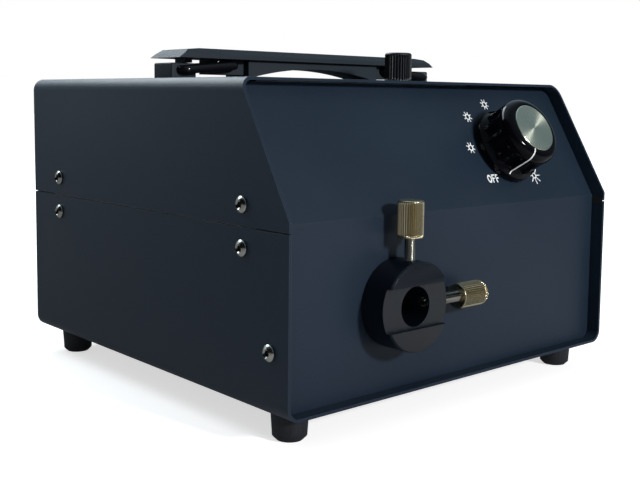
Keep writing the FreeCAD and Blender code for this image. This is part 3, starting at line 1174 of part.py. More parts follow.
for place, (x, z) in enumerate(FAN_SCREWS):
    arm = add("Part::Cylinder", "guard_arm_%d" % place)
    turn = FreeCAD.Rotation(FreeCAD.Vector(0, 1, 0), math.degrees(math.atan2(*CORNERS[place])))
    arm.Placement = FreeCAD.Placement(FreeCAD.Vector(), turn)
    ahead = ["%s + ((%s) - %s) * %s * sqrt(2) / fan_hole_pitch" % (axis, end, axis, inner_ring)
             for axis, end in (("fan_x", x), ("fan_axis_z", z))]
    bind(arm, Radius="guard_wire", Height="fan_hole_pitch / 2 * sqrt(2) - %s" % inner_ring,
         Placement_Base_x=ahead[0], Placement_Base_y=guard_y + " - guard_arm_set", Placement_Base_z=ahead[1])
    rings.append(arm)
    rings.append(rod("guard_eye_%d" % place, "y", (x, z), ("rear_face", guard_y + " + guard_wire"),
                     "guard_eye_radius"))
guard_holes = [rod("guard_hole_%d" % place, "y", spot,
                   ("rear_face - overrun", "rear + guard_proud + overrun"), "fan_screw_radius")
               for place, spot in enumerate(FAN_SCREWS)]
guard_recess = [rod("guard_recess_%d" % place, "y", spot,
                    ("rear + guard_proud - fan_screw_head_height", "rear + guard_proud + overrun"),
                    "fan_screw_head_radius")
                for place, spot in enumerate(FAN_SCREWS)]
cut("fan_guard", join("guard_wires", *rings), *guard_holes, *guard_recess)
head_seat = "rear + guard_proud - fan_screw_head_height"
fan_screw_bars = []
for place, spot in enumerate(FAN_SCREWS):
    fan_screw_bars.append(join("fan_screw_%d" % place,
                               rod("fan_shank_%d" % place, "y", spot,
                                   ("fan_front - fan_screw_tail", head_seat), "fan_screw_radius"),
                               rod("fan_head_%d" % place, "y", spot, (head_seat, "rear + guard_proud"),
                                   "fan_screw_head_radius")))
group("fan_screws", *fan_screw_bars)

# Mains inlet with its contacts, fuse drawer, fuse and screws
inlet_face = "rear_face + inlet_flange"
inlet_span = ("inlet_x - inlet_body_width / 2", "inlet_x + inlet_body_width / 2")
flange = soften("inlet_flange_soft", block("inlet_flange_block",
                                           ("inlet_x - inlet_flange_width / 2",
                                            "inlet_x + inlet_flange_width / 2"),
                                           ("rear_face", inlet_face),
                                           ("inlet_axis_z - inlet_flange_height / 2",
                                            "inlet_axis_z + inlet_flange_height / 2")),
                "inlet_edge", along("y"))
inlet_body = block("inlet_body", inlet_span, ("rear_face - inlet_body_depth", "rear_face"),
                   ("inlet_axis_z - inlet_body_height / 2", "inlet_axis_z + inlet_body_height / 2"))
socket_z = "inlet_axis_z + socket_recess_rise"
recess = soften("socket_recess_soft", block("socket_recess",
                                            ("inlet_x - socket_recess_width / 2",
                                             "inlet_x + socket_recess_width / 2"),
                                            (inlet_face + " - socket_recess_depth",
                                             inlet_face + " + overrun"),
                                            (socket_z + " - socket_recess_height / 2",
                                             socket_z + " + socket_recess_height / 2")),
                "inlet_edge", along("y", lambda middle: middle.z > number(socket_z)))
drawer_z = "inlet_axis_z - drawer_drop"
drawer_start = inlet_face + " - drawer_depth"
drawer_room = block("drawer_room", ("inlet_x - drawer_width / 2 - drawer_play",
                                    "inlet_x + drawer_width / 2 + drawer_play"),
                    (drawer_start + " - drawer_play", inlet_face + " + overrun"),
                    (drawer_z + " - drawer_height / 2 - drawer_play",
                     drawer_z + " + drawer_height / 2 + drawer_play"))
inlet_holes = [rod("inlet_flange_hole_%d" % place, "y", spot,
                   ("rear_face - overrun", inlet_face + " + overrun"), "inlet_screw_radius")
               for place, spot in enumerate(INLET_SCREWS)]
inlet_sinks = [rod("inlet_sink_%d" % place, "y", spot,
                   (inlet_face + " - inlet_screw_radius", inlet_face + " + overrun"), "inlet_screw_head")
               for place, spot in enumerate(INLET_SCREWS)]
cut("mains_inlet", join("inlet_joined", flange, inlet_body), recess, drawer_room, *inlet_holes, *inlet_sinks)
contact_start = inlet_face + " - socket_recess_depth"
contacts = [block("inlet_contact_%d" % place,
                  ("inlet_x + contact_pitch * %d - contact_sheet / 2" % place,
                   "inlet_x + contact_pitch * %d + contact_sheet / 2" % place),
                  (contact_start, contact_start + " + contact_length"),
                  (socket_z + " - contact_width / 2 + contact_step * %s" % rise,
                   socket_z + " + contact_width / 2 + contact_step * %s" % rise))
            for place, rise in ((-1, "-0.5"), (0, "0.5"), (1, "-0.5"))]
group("inlet_contacts", *contacts)
drawer = block("drawer_blank", ("inlet_x - drawer_width / 2", "inlet_x + drawer_width / 2"),
               (drawer_start, inlet_face),
               (drawer_z + " - drawer_height / 2", drawer_z + " + drawer_height / 2"))
lip = block("drawer_lip_block", ("inlet_x - drawer_width / 4", "inlet_x + drawer_width / 4"),
            (inlet_face, inlet_face + " + drawer_lip"),
            (drawer_z + " - drawer_height / 2", drawer_z))
fuse_y = drawer_start + " + fuse_radius + fuse_play + drawer_lip"
fuse_room = block("fuse_room", ("inlet_x - fuse_length / 2 - fuse_play",
                                "inlet_x + fuse_length / 2 + fuse_play"),
                  (fuse_y + " - fuse_radius - fuse_play", fuse_y + " + fuse_radius + fuse_play"),
                  (drawer_z + " - fuse_radius - fuse_play", drawer_z + " + drawer_height"))
cut("fuse_drawer", join("drawer_body", drawer, lip), fuse_room)
rod("fuse", "x", (fuse_y, drawer_z), ("inlet_x - fuse_length / 2", "inlet_x + fuse_length / 2"),
    "fuse_radius")
inlet_bars = []
for place, spot in enumerate(INLET_SCREWS):
    inlet_bars.append(join("inlet_screw_%d" % place,
                           rod("inlet_shank_%d" % place, "y", spot,
                               (inlet_face + " - inlet_screw_length", inlet_face + " - inlet_screw_radius"),
                               "inlet_screw_radius"),
                           rod("inlet_head_%d" % place, "y", spot,
                               (inlet_face + " - inlet_screw_radius", inlet_face), "inlet_screw_head")))
group("inlet_screws", *inlet_bars)

# Transformer: core, bobbin, winding and cradle
core_span = ("core_x - core_width / 2", "core_x + core_width / 2")
core_run = ("core_axis_y - core_stack / 2", "core_axis_y + core_stack / 2")
window_levels = ("core_axis_z - window_height / 2", "core_axis_z + window_height / 2")
core = block("core_stack_block", core_span, core_run, ("core_bottom", "core_bottom + core_height"))
windows = [block("core_window_left", ("core_x - core_width / 2 + core_leg",
                                      "core_x - core_width / 2 + core_leg + window_width"),
                 ("core_axis_y - core_stack", "core_axis_y + core_stack"), window_levels),
           block("core_window_right", ("core_x + core_width / 2 - core_leg - window_width",
                                       "core_x + core_width / 2 - core_leg"),
                 ("core_axis_y - core_stack", "core_axis_y + core_stack"), window_levels)]
cut("transformer_core", core, *windows)
leg_half = "(core_width / 2 - core_leg - window_width + bobbin_play)"
stack_half = "(core_stack / 2 + bobbin_play)"


def sleeve(label, grow, levels, reach_x=None, reach_y=None):
    """A block round the core's middle leg, grown by an amount on each side."""
    across = reach_x or "%s + %s" % (leg_half, grow)
    deep = reach_y or "%s + %s" % (stack_half, grow)
    return block(label, ("core_x - (%s)" % across, "core_x + (%s)" % across),
                 ("core_axis_y - (%s)" % deep, "core_axis_y + (%s)" % deep), levels)


bobbin_levels = ("core_axis_z - window_height / 2 + bobbin_play",
                 "core_axis_z + window_height / 2 - bobbin_play")
flange_x = "core_width / 2 - core_leg - bobbin_play"
flange_y = "core_stack / 2 + bobbin_reach"
tube = sleeve("bobbin_tube", "bobbin_wall", bobbin_levels)
low_flange = sleeve("bobbin_low", "0", (bobbin_levels[0], bobbin_levels[0] + " + bobbin_wall"), flange_x,
                    flange_y)
high_flange = sleeve("bobbin_high", "0", (bobbin_levels[1] + " - bobbin_wall", bobbin_levels[1]), flange_x,
                     flange_y)
leg_room = sleeve("bobbin_leg_room", "0", ("core_bottom", "core_bottom + core_height"))
cut("transformer_bobbin", join("bobbin_joined", tube, low_flange, high_flange), leg_room)
wound_levels = (bobbin_levels[0] + " + bobbin_wall", bobbin_levels[1] + " - bobbin_wall")
wound = sleeve("winding_block", "0", wound_levels, flange_x + " - winding_margin",
               flange_y + " - winding_margin")
wound_soft = soften("winding_soft", wound, "bobbin_reach / 2", along("z"))
cut("transformer_winding", wound_soft, sleeve("winding_room", "bobbin_wall",
                                              ("core_bottom", "core_bottom + core_height")))
cradle_levels = ("floor", "floor + core_lift")
cradle_pad = block("cradle_pad", (core_span[0] + " - cradle_sheet - cradle_foot",
                                  core_span[1] + " + cradle_sheet + cradle_foot"),
                   core_run, cradle_levels)
cradle_side = [block("cradle_left", (core_span[0] + " - cradle_sheet", core_span[0]), core_run,
                     ("floor", "floor + core_lift + cradle_rise")),
               block("cradle_right", (core_span[1], core_span[1] + " + cradle_sheet"), core_run,
                     ("floor", "floor + core_lift + cradle_rise"))]
join("transformer_cradle", cradle_pad, *cradle_side)

# Dimmer board, its posts, heat sink and parts
board_span = ("board_left", "board_right")
board_run = ("front + board_front", "board_rear")
block("dimmer_board", board_span, board_run, ("board_z", "board_z + board_sheet"))
POSTS = [(x, y) for x in ("board_left + post_inset", "board_right - post_inset")
         for y in ("front + board_front + post_inset", "board_rear - post_inset")]
group("board_posts", *[rod("board_post_%d" % place, "z", spot, ("floor", "board_z"), "post_radius")
                       for place, spot in enumerate(POSTS)])
board_top = "board_z + board_sheet"
sink_y = "board_middle - sink_depth / 2"
sink_x = "board_left + post_inset"
fin_step = "(sink_width - fin_sheet) / (sink_fins - 1)"
fins = [block("fin_%d" % place, (sink_x + " + %s * %d" % (fin_step, place),
                                 sink_x + " + %s * %d + fin_sheet" % (fin_step, place)),
              (sink_y, sink_y + " + sink_depth"), (board_top, board_top + " + sink_height"))
        for place in range(int(number("sink_fins")))]
join("triac_heat_sink", block("sink_back", (sink_x, sink_x + " + sink_width"),
                              (sink_y, sink_y + " + sink_base"),
                              (board_top, board_top + " + sink_height")), *fins)
film_x = sink_x + " + sink_width + parts_gap"
film = block("film_capacitor", (film_x, film_x + " + cap_block_depth"),
             ("board_middle - cap_block_width / 2", "board_middle + cap_block_width / 2"),
             (board_top, board_top + " + cap_block_height"))
choke_x = film_x + " + cap_block_depth + parts_gap + choke_radius + choke_section"
choke = bind(add("Part::Torus", "board_choke"), Radius1="choke_radius", Radius2="choke_section",
             Placement_Base_x=choke_x, Placement_Base_y="board_middle",
             Placement_Base_z=board_top + " + choke_section")
group("board_parts", choke, film)

# Heat shield between the lamp and the electronics
shield_run = ("front + shield_front", "rear - shield_rear")
wall = block("shield_wall", ("shield_x", "shield_x + shield_sheet"), shield_run,
             ("floor", "floor + shield_height"))
strip = block("shield_strip", ("shield_x", "shield_x + shield_foot"), shield_run,
              ("floor", "floor + shield_sheet"))
lead_hole = rod("lead_hole", "x", ("lead_y + lead_bend", "port_z"),
                ("shield_x - overrun", "shield_x + shield_foot"),
                "lead_hole_radius")
cut("heat_shield", join("shield_body", wall, strip), lead_hole)

# Lamp leads: two wires, one above the other, through the heat shield to the front of the winding
winding_left = "core_x - core_width / 2 + core_leg + bobbin_play + winding_margin"
leads = []
for place, (start, height) in enumerate(LEAD_PLACES):
    route = [(start, "lead_y - lead_grip"), (start, "lead_y + lead_bend"),
             ("shield_x + shield_foot / 2", "lead_y + lead_bend"),
             ("core_right - core_width", "core_front + bobbin_reach / 2"),
             (winding_left, "core_front + bobbin_reach / 2")]
    points = [(number(x), number(y), number(height)) for x, y in route]
    leads.append(pipe("lamp_lead_%d" % place, points, number("lead_bend"), number("lead_radius"), False))
group("lamp_leads", *leads)

NODES = ["lower_cover", "upper_cover", "front_panel", "rear_panel", "side_rail_left", "side_rail_right",
         "cover_screws", "rubber_feet", "foot_screws", "foot_nuts", "light_port", "port_ring_nut",
         "top_lock_stud", "top_lock_head", "side_lock_stud", "side_lock_head", "lamp_hatch", "hatch_frame",
         "hatch_hinge_pin", "hatch_screw_stud", "hatch_screw_head", "dimmer_knob", "knob_cap",
         "knob_set_screw", "pot_shaft", "dimmer_pot", "pot_nut", "handle_grip", "handle_bail_left",
         "handle_bail_right", "handle_base_left", "handle_base_right", "handle_screws", "lamp_reflector",
         "lamp_capsule", "lamp_base", "lamp_pins", "lamp_socket", "lamp_bracket", "heat_filter",
         "filter_holder", "fan_frame", "fan_rotor", "fan_guard", "fan_screws", "mains_inlet",
         "inlet_contacts", "fuse_drawer", "fuse", "inlet_screws", "transformer_core", "transformer_bobbin",
         "transformer_winding", "transformer_cradle", "dimmer_board", "board_posts", "triac_heat_sink",
         "board_parts", "heat_shield", "lamp_leads"]

doc.recompute()
for thing in doc.Objects:
    if {"Invalid", "Error"} & set(thing.State):
        raise RuntimeError("%s failed to build: %s" % (thing.Name, thing.getStatusString()))
for name in NODES:
    shape = doc.getObject(name).Shape
    if shape.isNull() or not shape.isValid() or not shape.Solids:
        raise RuntimeError(name + " has no valid solid")
    shape.exportStep("parts/" + name + ".step")
    box = shape.BoundBox
    print("%-22s solids %2d volume %9.1f x %6.1f %6.1f y %6.1f %6.1f z %6.1f %6.1f" % (
        name, len(shape.Solids), shape.Volume, box.XMin, box.XMax, box.YMin, box.YMax, box.ZMin, box.ZMax))
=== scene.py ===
"""Dresses a fibre optic illuminator: powder-coated case, black port with knurled screws, dial and handle."""
import json
import math
import bmesh
import bpy
import numpy as np
from mathutils import Matrix, Vector

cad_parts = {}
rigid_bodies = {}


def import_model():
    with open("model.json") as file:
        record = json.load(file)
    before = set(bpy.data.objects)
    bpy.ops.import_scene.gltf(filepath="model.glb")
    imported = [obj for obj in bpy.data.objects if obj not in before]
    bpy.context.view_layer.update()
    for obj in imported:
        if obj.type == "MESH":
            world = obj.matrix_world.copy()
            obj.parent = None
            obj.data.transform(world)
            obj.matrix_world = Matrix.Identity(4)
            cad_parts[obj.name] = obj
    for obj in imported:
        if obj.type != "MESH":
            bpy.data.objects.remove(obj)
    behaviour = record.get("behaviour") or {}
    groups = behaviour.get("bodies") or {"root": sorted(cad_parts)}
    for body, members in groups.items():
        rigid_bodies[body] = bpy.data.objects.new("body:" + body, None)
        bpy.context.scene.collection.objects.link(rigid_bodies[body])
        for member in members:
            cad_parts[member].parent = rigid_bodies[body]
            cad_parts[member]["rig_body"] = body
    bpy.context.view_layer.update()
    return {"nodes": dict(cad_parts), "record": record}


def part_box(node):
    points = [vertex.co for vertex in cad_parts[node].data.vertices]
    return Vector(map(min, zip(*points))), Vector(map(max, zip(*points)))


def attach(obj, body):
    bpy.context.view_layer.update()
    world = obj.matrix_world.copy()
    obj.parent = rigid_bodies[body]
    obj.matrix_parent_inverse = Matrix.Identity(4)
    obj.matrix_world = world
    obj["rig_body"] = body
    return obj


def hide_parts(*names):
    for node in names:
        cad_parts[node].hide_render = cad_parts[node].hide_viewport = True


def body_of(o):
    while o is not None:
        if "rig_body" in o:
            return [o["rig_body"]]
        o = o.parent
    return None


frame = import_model()
nodes = frame["nodes"]
MM = 0.001


# Places read from the frame

def span(node):
    """Lowest corner, highest corner and middle of a node, as arrays in metres."""
    low, high = (np.array(corner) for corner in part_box(node))
    return low, high, (low + high) / 2


CASE_LOW, CASE_HIGH, _ = span("lower_cover")
FRONT = CASE_LOW[1]
REAR = CASE_HIGH[1]
HALF = CASE_HIGH[0]
PANEL_FRONT = span("front_panel")[0][1]
SLOPE_RUN = 30.0
SLOPE_RISE = 51.8
SLOPE = math.atan(SLOPE_RUN / SLOPE_RISE)
ALONG = np.array([0, math.sin(SLOPE), math.cos(SLOPE)])
OUTWARD = np.array([0, -math.cos(SLOPE), math.sin(SLOPE)])
FOLD_Z = 83.588 * MM
DIAL_X = 43.8 * MM
DIAL_RISE = 27 * MM
DIAL = np.array([DIAL_X, PANEL_FRONT, FOLD_Z]) + ALONG * DIAL_RISE


# Meshes

def piece(name, parts, body, material, *stands_for, sharp=40):
    """A mesh piece of one or more parts, each a pair of corners and faces, which stands for CAD nodes."""
    corners = []
    sides = []
    for points, faces in parts:
        sides.extend(tuple(corner + len(corners) for corner in face) for face in faces)
        corners.extend(np.asarray(points).reshape(-1, 3).tolist())
    mesh = bpy.data.meshes.new(name)
    mesh.from_pydata(corners, [], sides)
    shell = bmesh.new()
    shell.from_mesh(mesh)
    bmesh.ops.remove_doubles(shell, verts=shell.verts, dist=1e-6)
    bmesh.ops.dissolve_degenerate(shell, edges=shell.edges, dist=1e-7)
    bmesh.ops.recalc_face_normals(shell, faces=shell.faces)
    shell.to_mesh(mesh)
    shell.free()
    return finish_piece(name, mesh, body, material, stands_for, sharp)


def finish_piece(name, mesh, body, material, stands_for, sharp):
    """Smooths a mesh up to an angle and puts it in the scene as a piece."""
    mesh.polygons.foreach_set("use_smooth", np.ones(len(mesh.polygons), bool))
    mesh.set_sharp_from_angle(angle=math.radians(sharp))
    mesh.materials.append(material)
    thing = bpy.data.objects.new(name, mesh)
    bpy.context.scene.collection.objects.link(thing)
    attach(thing, body)
    if stands_for:
        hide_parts(*stands_for)
    return thing


def grid_faces(rows, columns):
    """Quads between neighbouring rows of a grid of corners whose rows close on themselves."""
    row, column = np.meshgrid(np.arange(rows - 1), np.arange(columns), indexing="ij")
    after = (column + 1) % columns
    corners = [row * columns + column, row * columns + after, (row + 1) * columns + after,
               (row + 1) * columns + column]
    return np.stack(corners, -1).reshape(-1, 4).tolist()


def axes(axis):
    """Two directions across an axis that make a right-handed set with it."""
    axis = np.asarray(axis, float)
    aside = np.array([1.0, 0, 0]) if abs(axis[0]) < 0.9 else np.array([0, 1.0, 0])
    second = np.cross(axis, aside)
    second /= np.linalg.norm(second)
    return np.cross(second, axis), second, axis


def placed(local, origin, axis, across=None):
    """Points given as x, y and height over a plane, laid on an origin with the axis as height."""
    first, second, third = axes(axis)
    if across is not None:
        first = np.asarray(across, float)
        second = np.cross(third, first)
    return np.asarray(origin) + local[..., :1] * first + local[..., 1:2] * second + local[..., 2:] * third


def turned(profile, count, origin, axis, across=None, radius_at=None):
    """A profile of radii and heights carried round an axis in equal steps.

    radius_at(radius, height, angle) changes the radius with the angle, for knurls, flutes and threads.
    """
    profile = np.asarray(profile, float)
    angle = np.linspace(0, 2 * math.pi, count, endpoint=False)
    radius = np.repeat(profile[:, :1], count, 1)
    height = np.repeat(profile[:, 1:2], count, 1)
    turn = np.repeat(angle[None], len(profile), 0)
    if radius_at:
        radius = radius_at(radius, height, turn)
    local = np.stack([radius * np.cos(turn), radius * np.sin(turn), height], -1)
    return placed(local, origin, axis, across), grid_faces(*local.shape[:2])


def fine(profile, step):
    """The same profile with points no further apart than a step, so that a changing radius can follow."""
    profile = np.asarray(profile, float)
    out = [profile[:1]]
    for start, end in zip(profile[:-1], profile[1:]):
        parts = max(1, int(math.ceil(np.linalg.norm(end - start) / step)))
        share = np.linspace(0, 1, parts + 1)[1:, None]
        out.append(start + (end - start) * share)
    return np.concatenate(out)


def arc(centre, radius, start, end, count):
    """Points of an arc in a profile, between two angles in degrees."""
    turn = np.radians(np.linspace(start, end, count))
    return np.stack([centre[0] + radius * np.cos(turn), centre[1] + radius * np.sin(turn)], -1)


def path(*stretches):
    """One profile of corners and arcs, in millimetres, given in metres."""
    return np.concatenate([np.atleast_2d(stretch) for stretch in stretches]) * MM


def fade(value, low, high):
    """Nought below a value, one above another, and a smooth rise between them."""
    share = np.clip((value - low) / (high - low), 0, 1)
    return share * share * (3 - 2 * share)


def softened(node, width, material, edge=None, segments=2, angle=30, sharp=30):
    """A copy of a CAD node with its triangles merged into flat faces and its edges bevelled."""
    mesh = nodes[node].data.copy()
    shell = bmesh.new()
    shell.from_mesh(mesh)
    bmesh.ops.remove_doubles(shell, verts=shell.verts, dist=1e-6)
    bmesh.ops.dissolve_limit(shell, angle_limit=math.radians(1), verts=shell.verts, edges=shell.edges)
    shell.to_mesh(mesh)
    shell.free()
    mesh.materials.clear()
    thing = finish_piece(node + "_finished", mesh, body_of(nodes[node])[0], material, (node,), sharp)
    bevel = thing.modifiers.new("edges", "BEVEL")
    bevel.width = width * MM
    bevel.segments = segments
    bevel.limit_method = "ANGLE"
    bevel.angle_limit = math.radians(angle)
    bevel.harden_normals = True
    # The bevel faces take the edge finish given; on the case and the port it is lighter, a painted highlight along
    # the edges.
    if edge:
        mesh.materials.append(edge)
        bevel.material = 1
    return thing


# Materials

class Graph:
    """A node tree with short calls for adding and linking nodes."""

    def __init__(self, tree):
        self.tree = tree

    def feed(self, socket, value):
        """Links a socket to an input, or sets the input to a plain value."""
        if isinstance(value, bpy.types.NodeSocket):
            self.tree.links.new(value, socket)
        else:
            socket.default_value = value

    def add(self, kind, **values):
        """Adds a node; names with a capital feed its inputs, and the others set the node itself."""
        node = self.tree.nodes.new(kind)
        for name, value in values.items():
            if name[0].isupper():
                self.feed(node.inputs[name.replace("_", " ")], value)
            else:
                setattr(node, name, value)
        return node

    def math(self, operation, *values):
        """A Math node's result."""
        node = self.add("ShaderNodeMath", operation=operation)
        for place, value in enumerate(values):
            self.feed(node.inputs[place], value)
        return node.outputs[0]

    def vector(self, operation, *values):
        """A Vector Math node, with its inputs fed in order."""
        node = self.add("ShaderNodeVectorMath", operation=operation)
        for place, value in enumerate(values):
            self.feed(node.inputs[3 if operation == "SCALE" and place else place], value)
        return node

    def mix(self, share, first, second):
        """A colour between two colours or sockets."""
        node = self.add("ShaderNodeMix", data_type="RGBA")
        for place, value in ((0, share), (6, first), (7, second)):
            self.feed(node.inputs[place], value if place == 0 or hasattr(value, "node") else (*value, 1))
        return node.outputs[2]

    def between(self, value, low, high, start=0.0, end=1.0):
        """A value carried from one range to another, and held at its ends."""
        node = self.add("ShaderNodeMapRange")
        for place, given in enumerate((value, start, end, low, high)):
            self.feed(node.inputs[place], given)
        return node.outputs[0]


def group(name, inputs, outputs):
    """A new shader node group with its inputs and value outputs, and its graph, given and result nodes."""
    tree = bpy.data.node_groups.new(name, "ShaderNodeTree")
    for label, value in inputs:
        kind = "NodeSocketVector" if isinstance(value, tuple) else "NodeSocketFloat"
        tree.interface.new_socket(label, in_out="INPUT", socket_type=kind).default_value = value
    for label in outputs:
        tree.interface.new_socket(label, in_out="OUTPUT", socket_type="NodeSocketFloat")
    return tree, Graph(tree), tree.nodes.new("NodeGroupInput"), tree.nodes.new("NodeGroupOutput")


def finish_grain():
    """Broad cloudiness, fine grain and rare hairline scratches, each from nought to one."""
    tree, graph, given, result = group("finish_grain", (("Broad", 18.0), ("Fine", 900.0), ("Scratch", 60.0)),
                                       ("Cloud", "Grain", "Scratches"))
    place = graph.add("ShaderNodeTexCoord").outputs["Object"]
    cloud = graph.add("ShaderNodeTexNoise", Vector=place, Scale=given.outputs[0], Detail=4.0)
    grain = graph.add("ShaderNodeTexNoise", Vector=place, Scale=given.outputs[1], Detail=2.0)
    stretch = graph.add("ShaderNodeMapping", Vector=place, Rotation=(0.4, 0.7, 1.1), Scale=(14.0, 0.6, 3.0))
    lines = graph.add("ShaderNodeTexNoise", Vector=stretch.outputs[0], Scale=given.outputs[2], Detail=3.0)
    marks = graph.math("MULTIPLY", graph.between(lines.outputs[0], 0.0, 1.0, 0.70, 0.74), cloud.outputs[0])
    for socket, output in ((cloud.outputs[0], 0), (grain.outputs[0], 1), (marks, 2)):
        tree.links.new(socket, result.inputs[output])
    return tree


def lathe_rings():
    """Turning marks: waves of the distance from an axis, from nought to one, with an uneven depth."""
    tree, graph, given, result = group("lathe_rings", (("Centre", (0.0, 0.0, 0.0)), ("Axis", (0.0, 0.0, 1.0)),
                                                       ("Pitch", 0.0004)), ("Ring", "Distance"))
    place = graph.add("ShaderNodeTexCoord").outputs["Object"]
    arm = graph.vector("SUBTRACT", place, given.outputs[0]).outputs[0]
    along = graph.vector("DOT_PRODUCT", arm, given.outputs[1]).outputs["Value"]
    lift = graph.vector("SCALE", given.outputs[1], along).outputs[0]
    reach = graph.vector("LENGTH", graph.vector("SUBTRACT", arm, lift).outputs[0]).outputs["Value"]
    wave = graph.math("SINE", graph.math("DIVIDE", graph.math("MULTIPLY", reach, 2 * math.pi), given.outputs[2]))
    uneven = graph.add("ShaderNodeTexNoise", Vector=graph.add("ShaderNodeCombineXYZ", X=reach).outputs[0],
                       Scale=1500.0, Detail=1.0)
    ring = graph.math("MULTIPLY", graph.between(wave, 0.0, 1.0, -1.0, 1.0), uneven.outputs[0])
    tree.links.new(ring, result.inputs[0])
    tree.links.new(reach, result.inputs[1])
    return tree


def settled_dust():
    """How much dust lies on a face: more where it looks up, broken up by a cloud."""
    tree, graph, given, result = group("settled_dust", (("Amount", 0.3), ("Scale", 40.0)), ("Dust",))
    up = graph.add("ShaderNodeSeparateXYZ", Vector=graph.add("ShaderNodeNewGeometry").outputs["Normal"])
    place = graph.add("ShaderNodeTexCoord").outputs["Object"]
    cloud = graph.add("ShaderNodeTexNoise", Vector=place, Scale=given.outputs[1], Detail=6.0, Roughness=0.65)
    share = graph.math("MULTIPLY", graph.between(up.outputs[2], 0.0, 1.0, 0.55, 1.0),
                       graph.between(cloud.outputs[0], 0.0, 1.0, 0.35, 0.8))
    tree.links.new(graph.math("MULTIPLY", share, given.outputs[0]), result.inputs[0])
    return tree


def edge_wear():
    """Patches where an edge is rubbed, from nought to one: a cloud cut off at a level."""
    tree, graph, given, result = group("edge_wear", (("Level", 0.5), ("Scale", 120.0)), ("Worn",))
    place = graph.add("ShaderNodeTexCoord").outputs["Object"]
    cloud = graph.add("ShaderNodeTexNoise", Vector=place, Scale=given.outputs[1], Detail=5.0, Roughness=0.6)
    high = graph.math("ADD", given.outputs[0], 0.12)
    tree.links.new(graph.between(cloud.outputs[0], 0.0, 1.0, given.outputs[0], high), result.inputs[0])
    return tree


GRAIN = finish_grain()
RINGS = lathe_rings()
DUST = settled_dust()
WEAR = edge_wear()
DUST_TONE = (0.16, 0.17, 0.17)
# Shares that the effects have in a finish's colour, and dust's in its roughness
CLOUD_SHARE = 0.65
SCRATCH_SHARE = 0.6
RING_SHARE = 0.5
WORN_SHARE = 0.7
DUST_ROUGHNESS = 0.3
RELIEF_DEPTH = 0.0002


def material(name, dark, light, rough, bump=0.1, broad=18.0, grain=900.0, scratch=60.0, scratch_tone=None,
             dust=0.0, rings=None, worn=None, **shader):
    """A finish: colour from dark to light by cloud and grain, roughness between two values, and fine relief.

    rings is a centre, an axis, a pitch and a strength of turning marks; worn is a level and a colour of
    rubbed patches; the other values go to sockets of the shader itself.
    """
    finish = bpy.data.materials.new(name)
    finish.use_nodes = True
    graph = Graph(finish.node_tree)
    principled = finish.node_tree.nodes["Principled BSDF"]
    texture = graph.add("ShaderNodeGroup", node_tree=GRAIN)
    for label, value in (("Broad", broad), ("Fine", grain), ("Scratch", scratch)):
        texture.inputs[label].default_value = value
    cloud, fine_grain, scratches = texture.outputs
    tone = graph.between(graph.math("ADD", graph.math("MULTIPLY", cloud, CLOUD_SHARE),
                                    graph.math("MULTIPLY", fine_grain, 1 - CLOUD_SHARE)), 0.0, 1.0, 0.3, 0.7)
    colour = graph.mix(tone, dark, light)
    roughness = graph.between(cloud, *rough, 0.3, 0.7)
    height = fine_grain
    if scratch_tone:
        colour = graph.mix(graph.math("MULTIPLY", scratches, SCRATCH_SHARE), colour, scratch_tone)
    if rings:
        centre, axis, pitch, strength = rings
        marks = graph.add("ShaderNodeGroup", node_tree=RINGS)
        marks.inputs["Centre"].default_value = centre
        marks.inputs["Axis"].default_value = axis
        marks.inputs["Pitch"].default_value = pitch
        height = graph.math("ADD", height, graph.math("MULTIPLY", marks.outputs["Ring"], strength))
        colour = graph.mix(graph.math("MULTIPLY", marks.outputs["Ring"], RING_SHARE), colour, dark)
    if worn:
        rubbed = graph.add("ShaderNodeGroup", node_tree=WEAR)
        rubbed.inputs["Level"].default_value = worn[0]
        colour = graph.mix(graph.math("MULTIPLY", rubbed.outputs[0], WORN_SHARE), colour, worn[1])
    if dust:
        lying = graph.add("ShaderNodeGroup", node_tree=DUST)
        lying.inputs["Amount"].default_value = dust
        colour = graph.mix(lying.outputs[0], colour, DUST_TONE)
        roughness = graph.math("ADD", roughness, graph.math("MULTIPLY", lying.outputs[0], DUST_ROUGHNESS))
    graph.feed(principled.inputs["Base Color"], colour)
    graph.feed(principled.inputs["Roughness"], roughness)
    relief = graph.add("ShaderNodeBump", Height=height, Strength=bump, Distance=RELIEF_DEPTH)
    graph.feed(principled.inputs["Normal"], relief.outputs[0])
    for label, value in shader.items():
        principled.inputs[label.replace("_", " ")].default_value = value
    return finish


PAINT = {"Specular_IOR_Level": 0.25}
CASE_PAINT = material("case_paint", (0.0084, 0.0165, 0.0300), (0.0112, 0.0210, 0.0375), (0.38, 0.46), 0.22,
                      grain=1500.0, dust=0.04, **PAINT)
# Bevels of the case and panels: lighter than the paint as a painted highlight along the edges, with real rubbed
# patches of wear.
WORN_EDGE_HIGHLIGHT = material("worn_edge_painted_highlight", (0.022, 0.033, 0.050), (0.036, 0.050, 0.070), (0.30, 0.38), 0.2, grain=1500.0,
                    worn=(0.58, (0.05, 0.065, 0.085)), **PAINT)
PORT_BLACK = material("port_black", (0.0018, 0.0040, 0.0085), (0.0030, 0.0062, 0.0120), (0.30, 0.36), 0.12,
                      Specular_IOR_Level=0.22)
# The port's bevels: a light grey that paints the highlight they catch.
PORT_EDGE_HIGHLIGHT = material("port_edge_painted_highlight", (0.030, 0.038, 0.046), (0.060, 0.072, 0.084), (0.20, 0.28), 0.1)
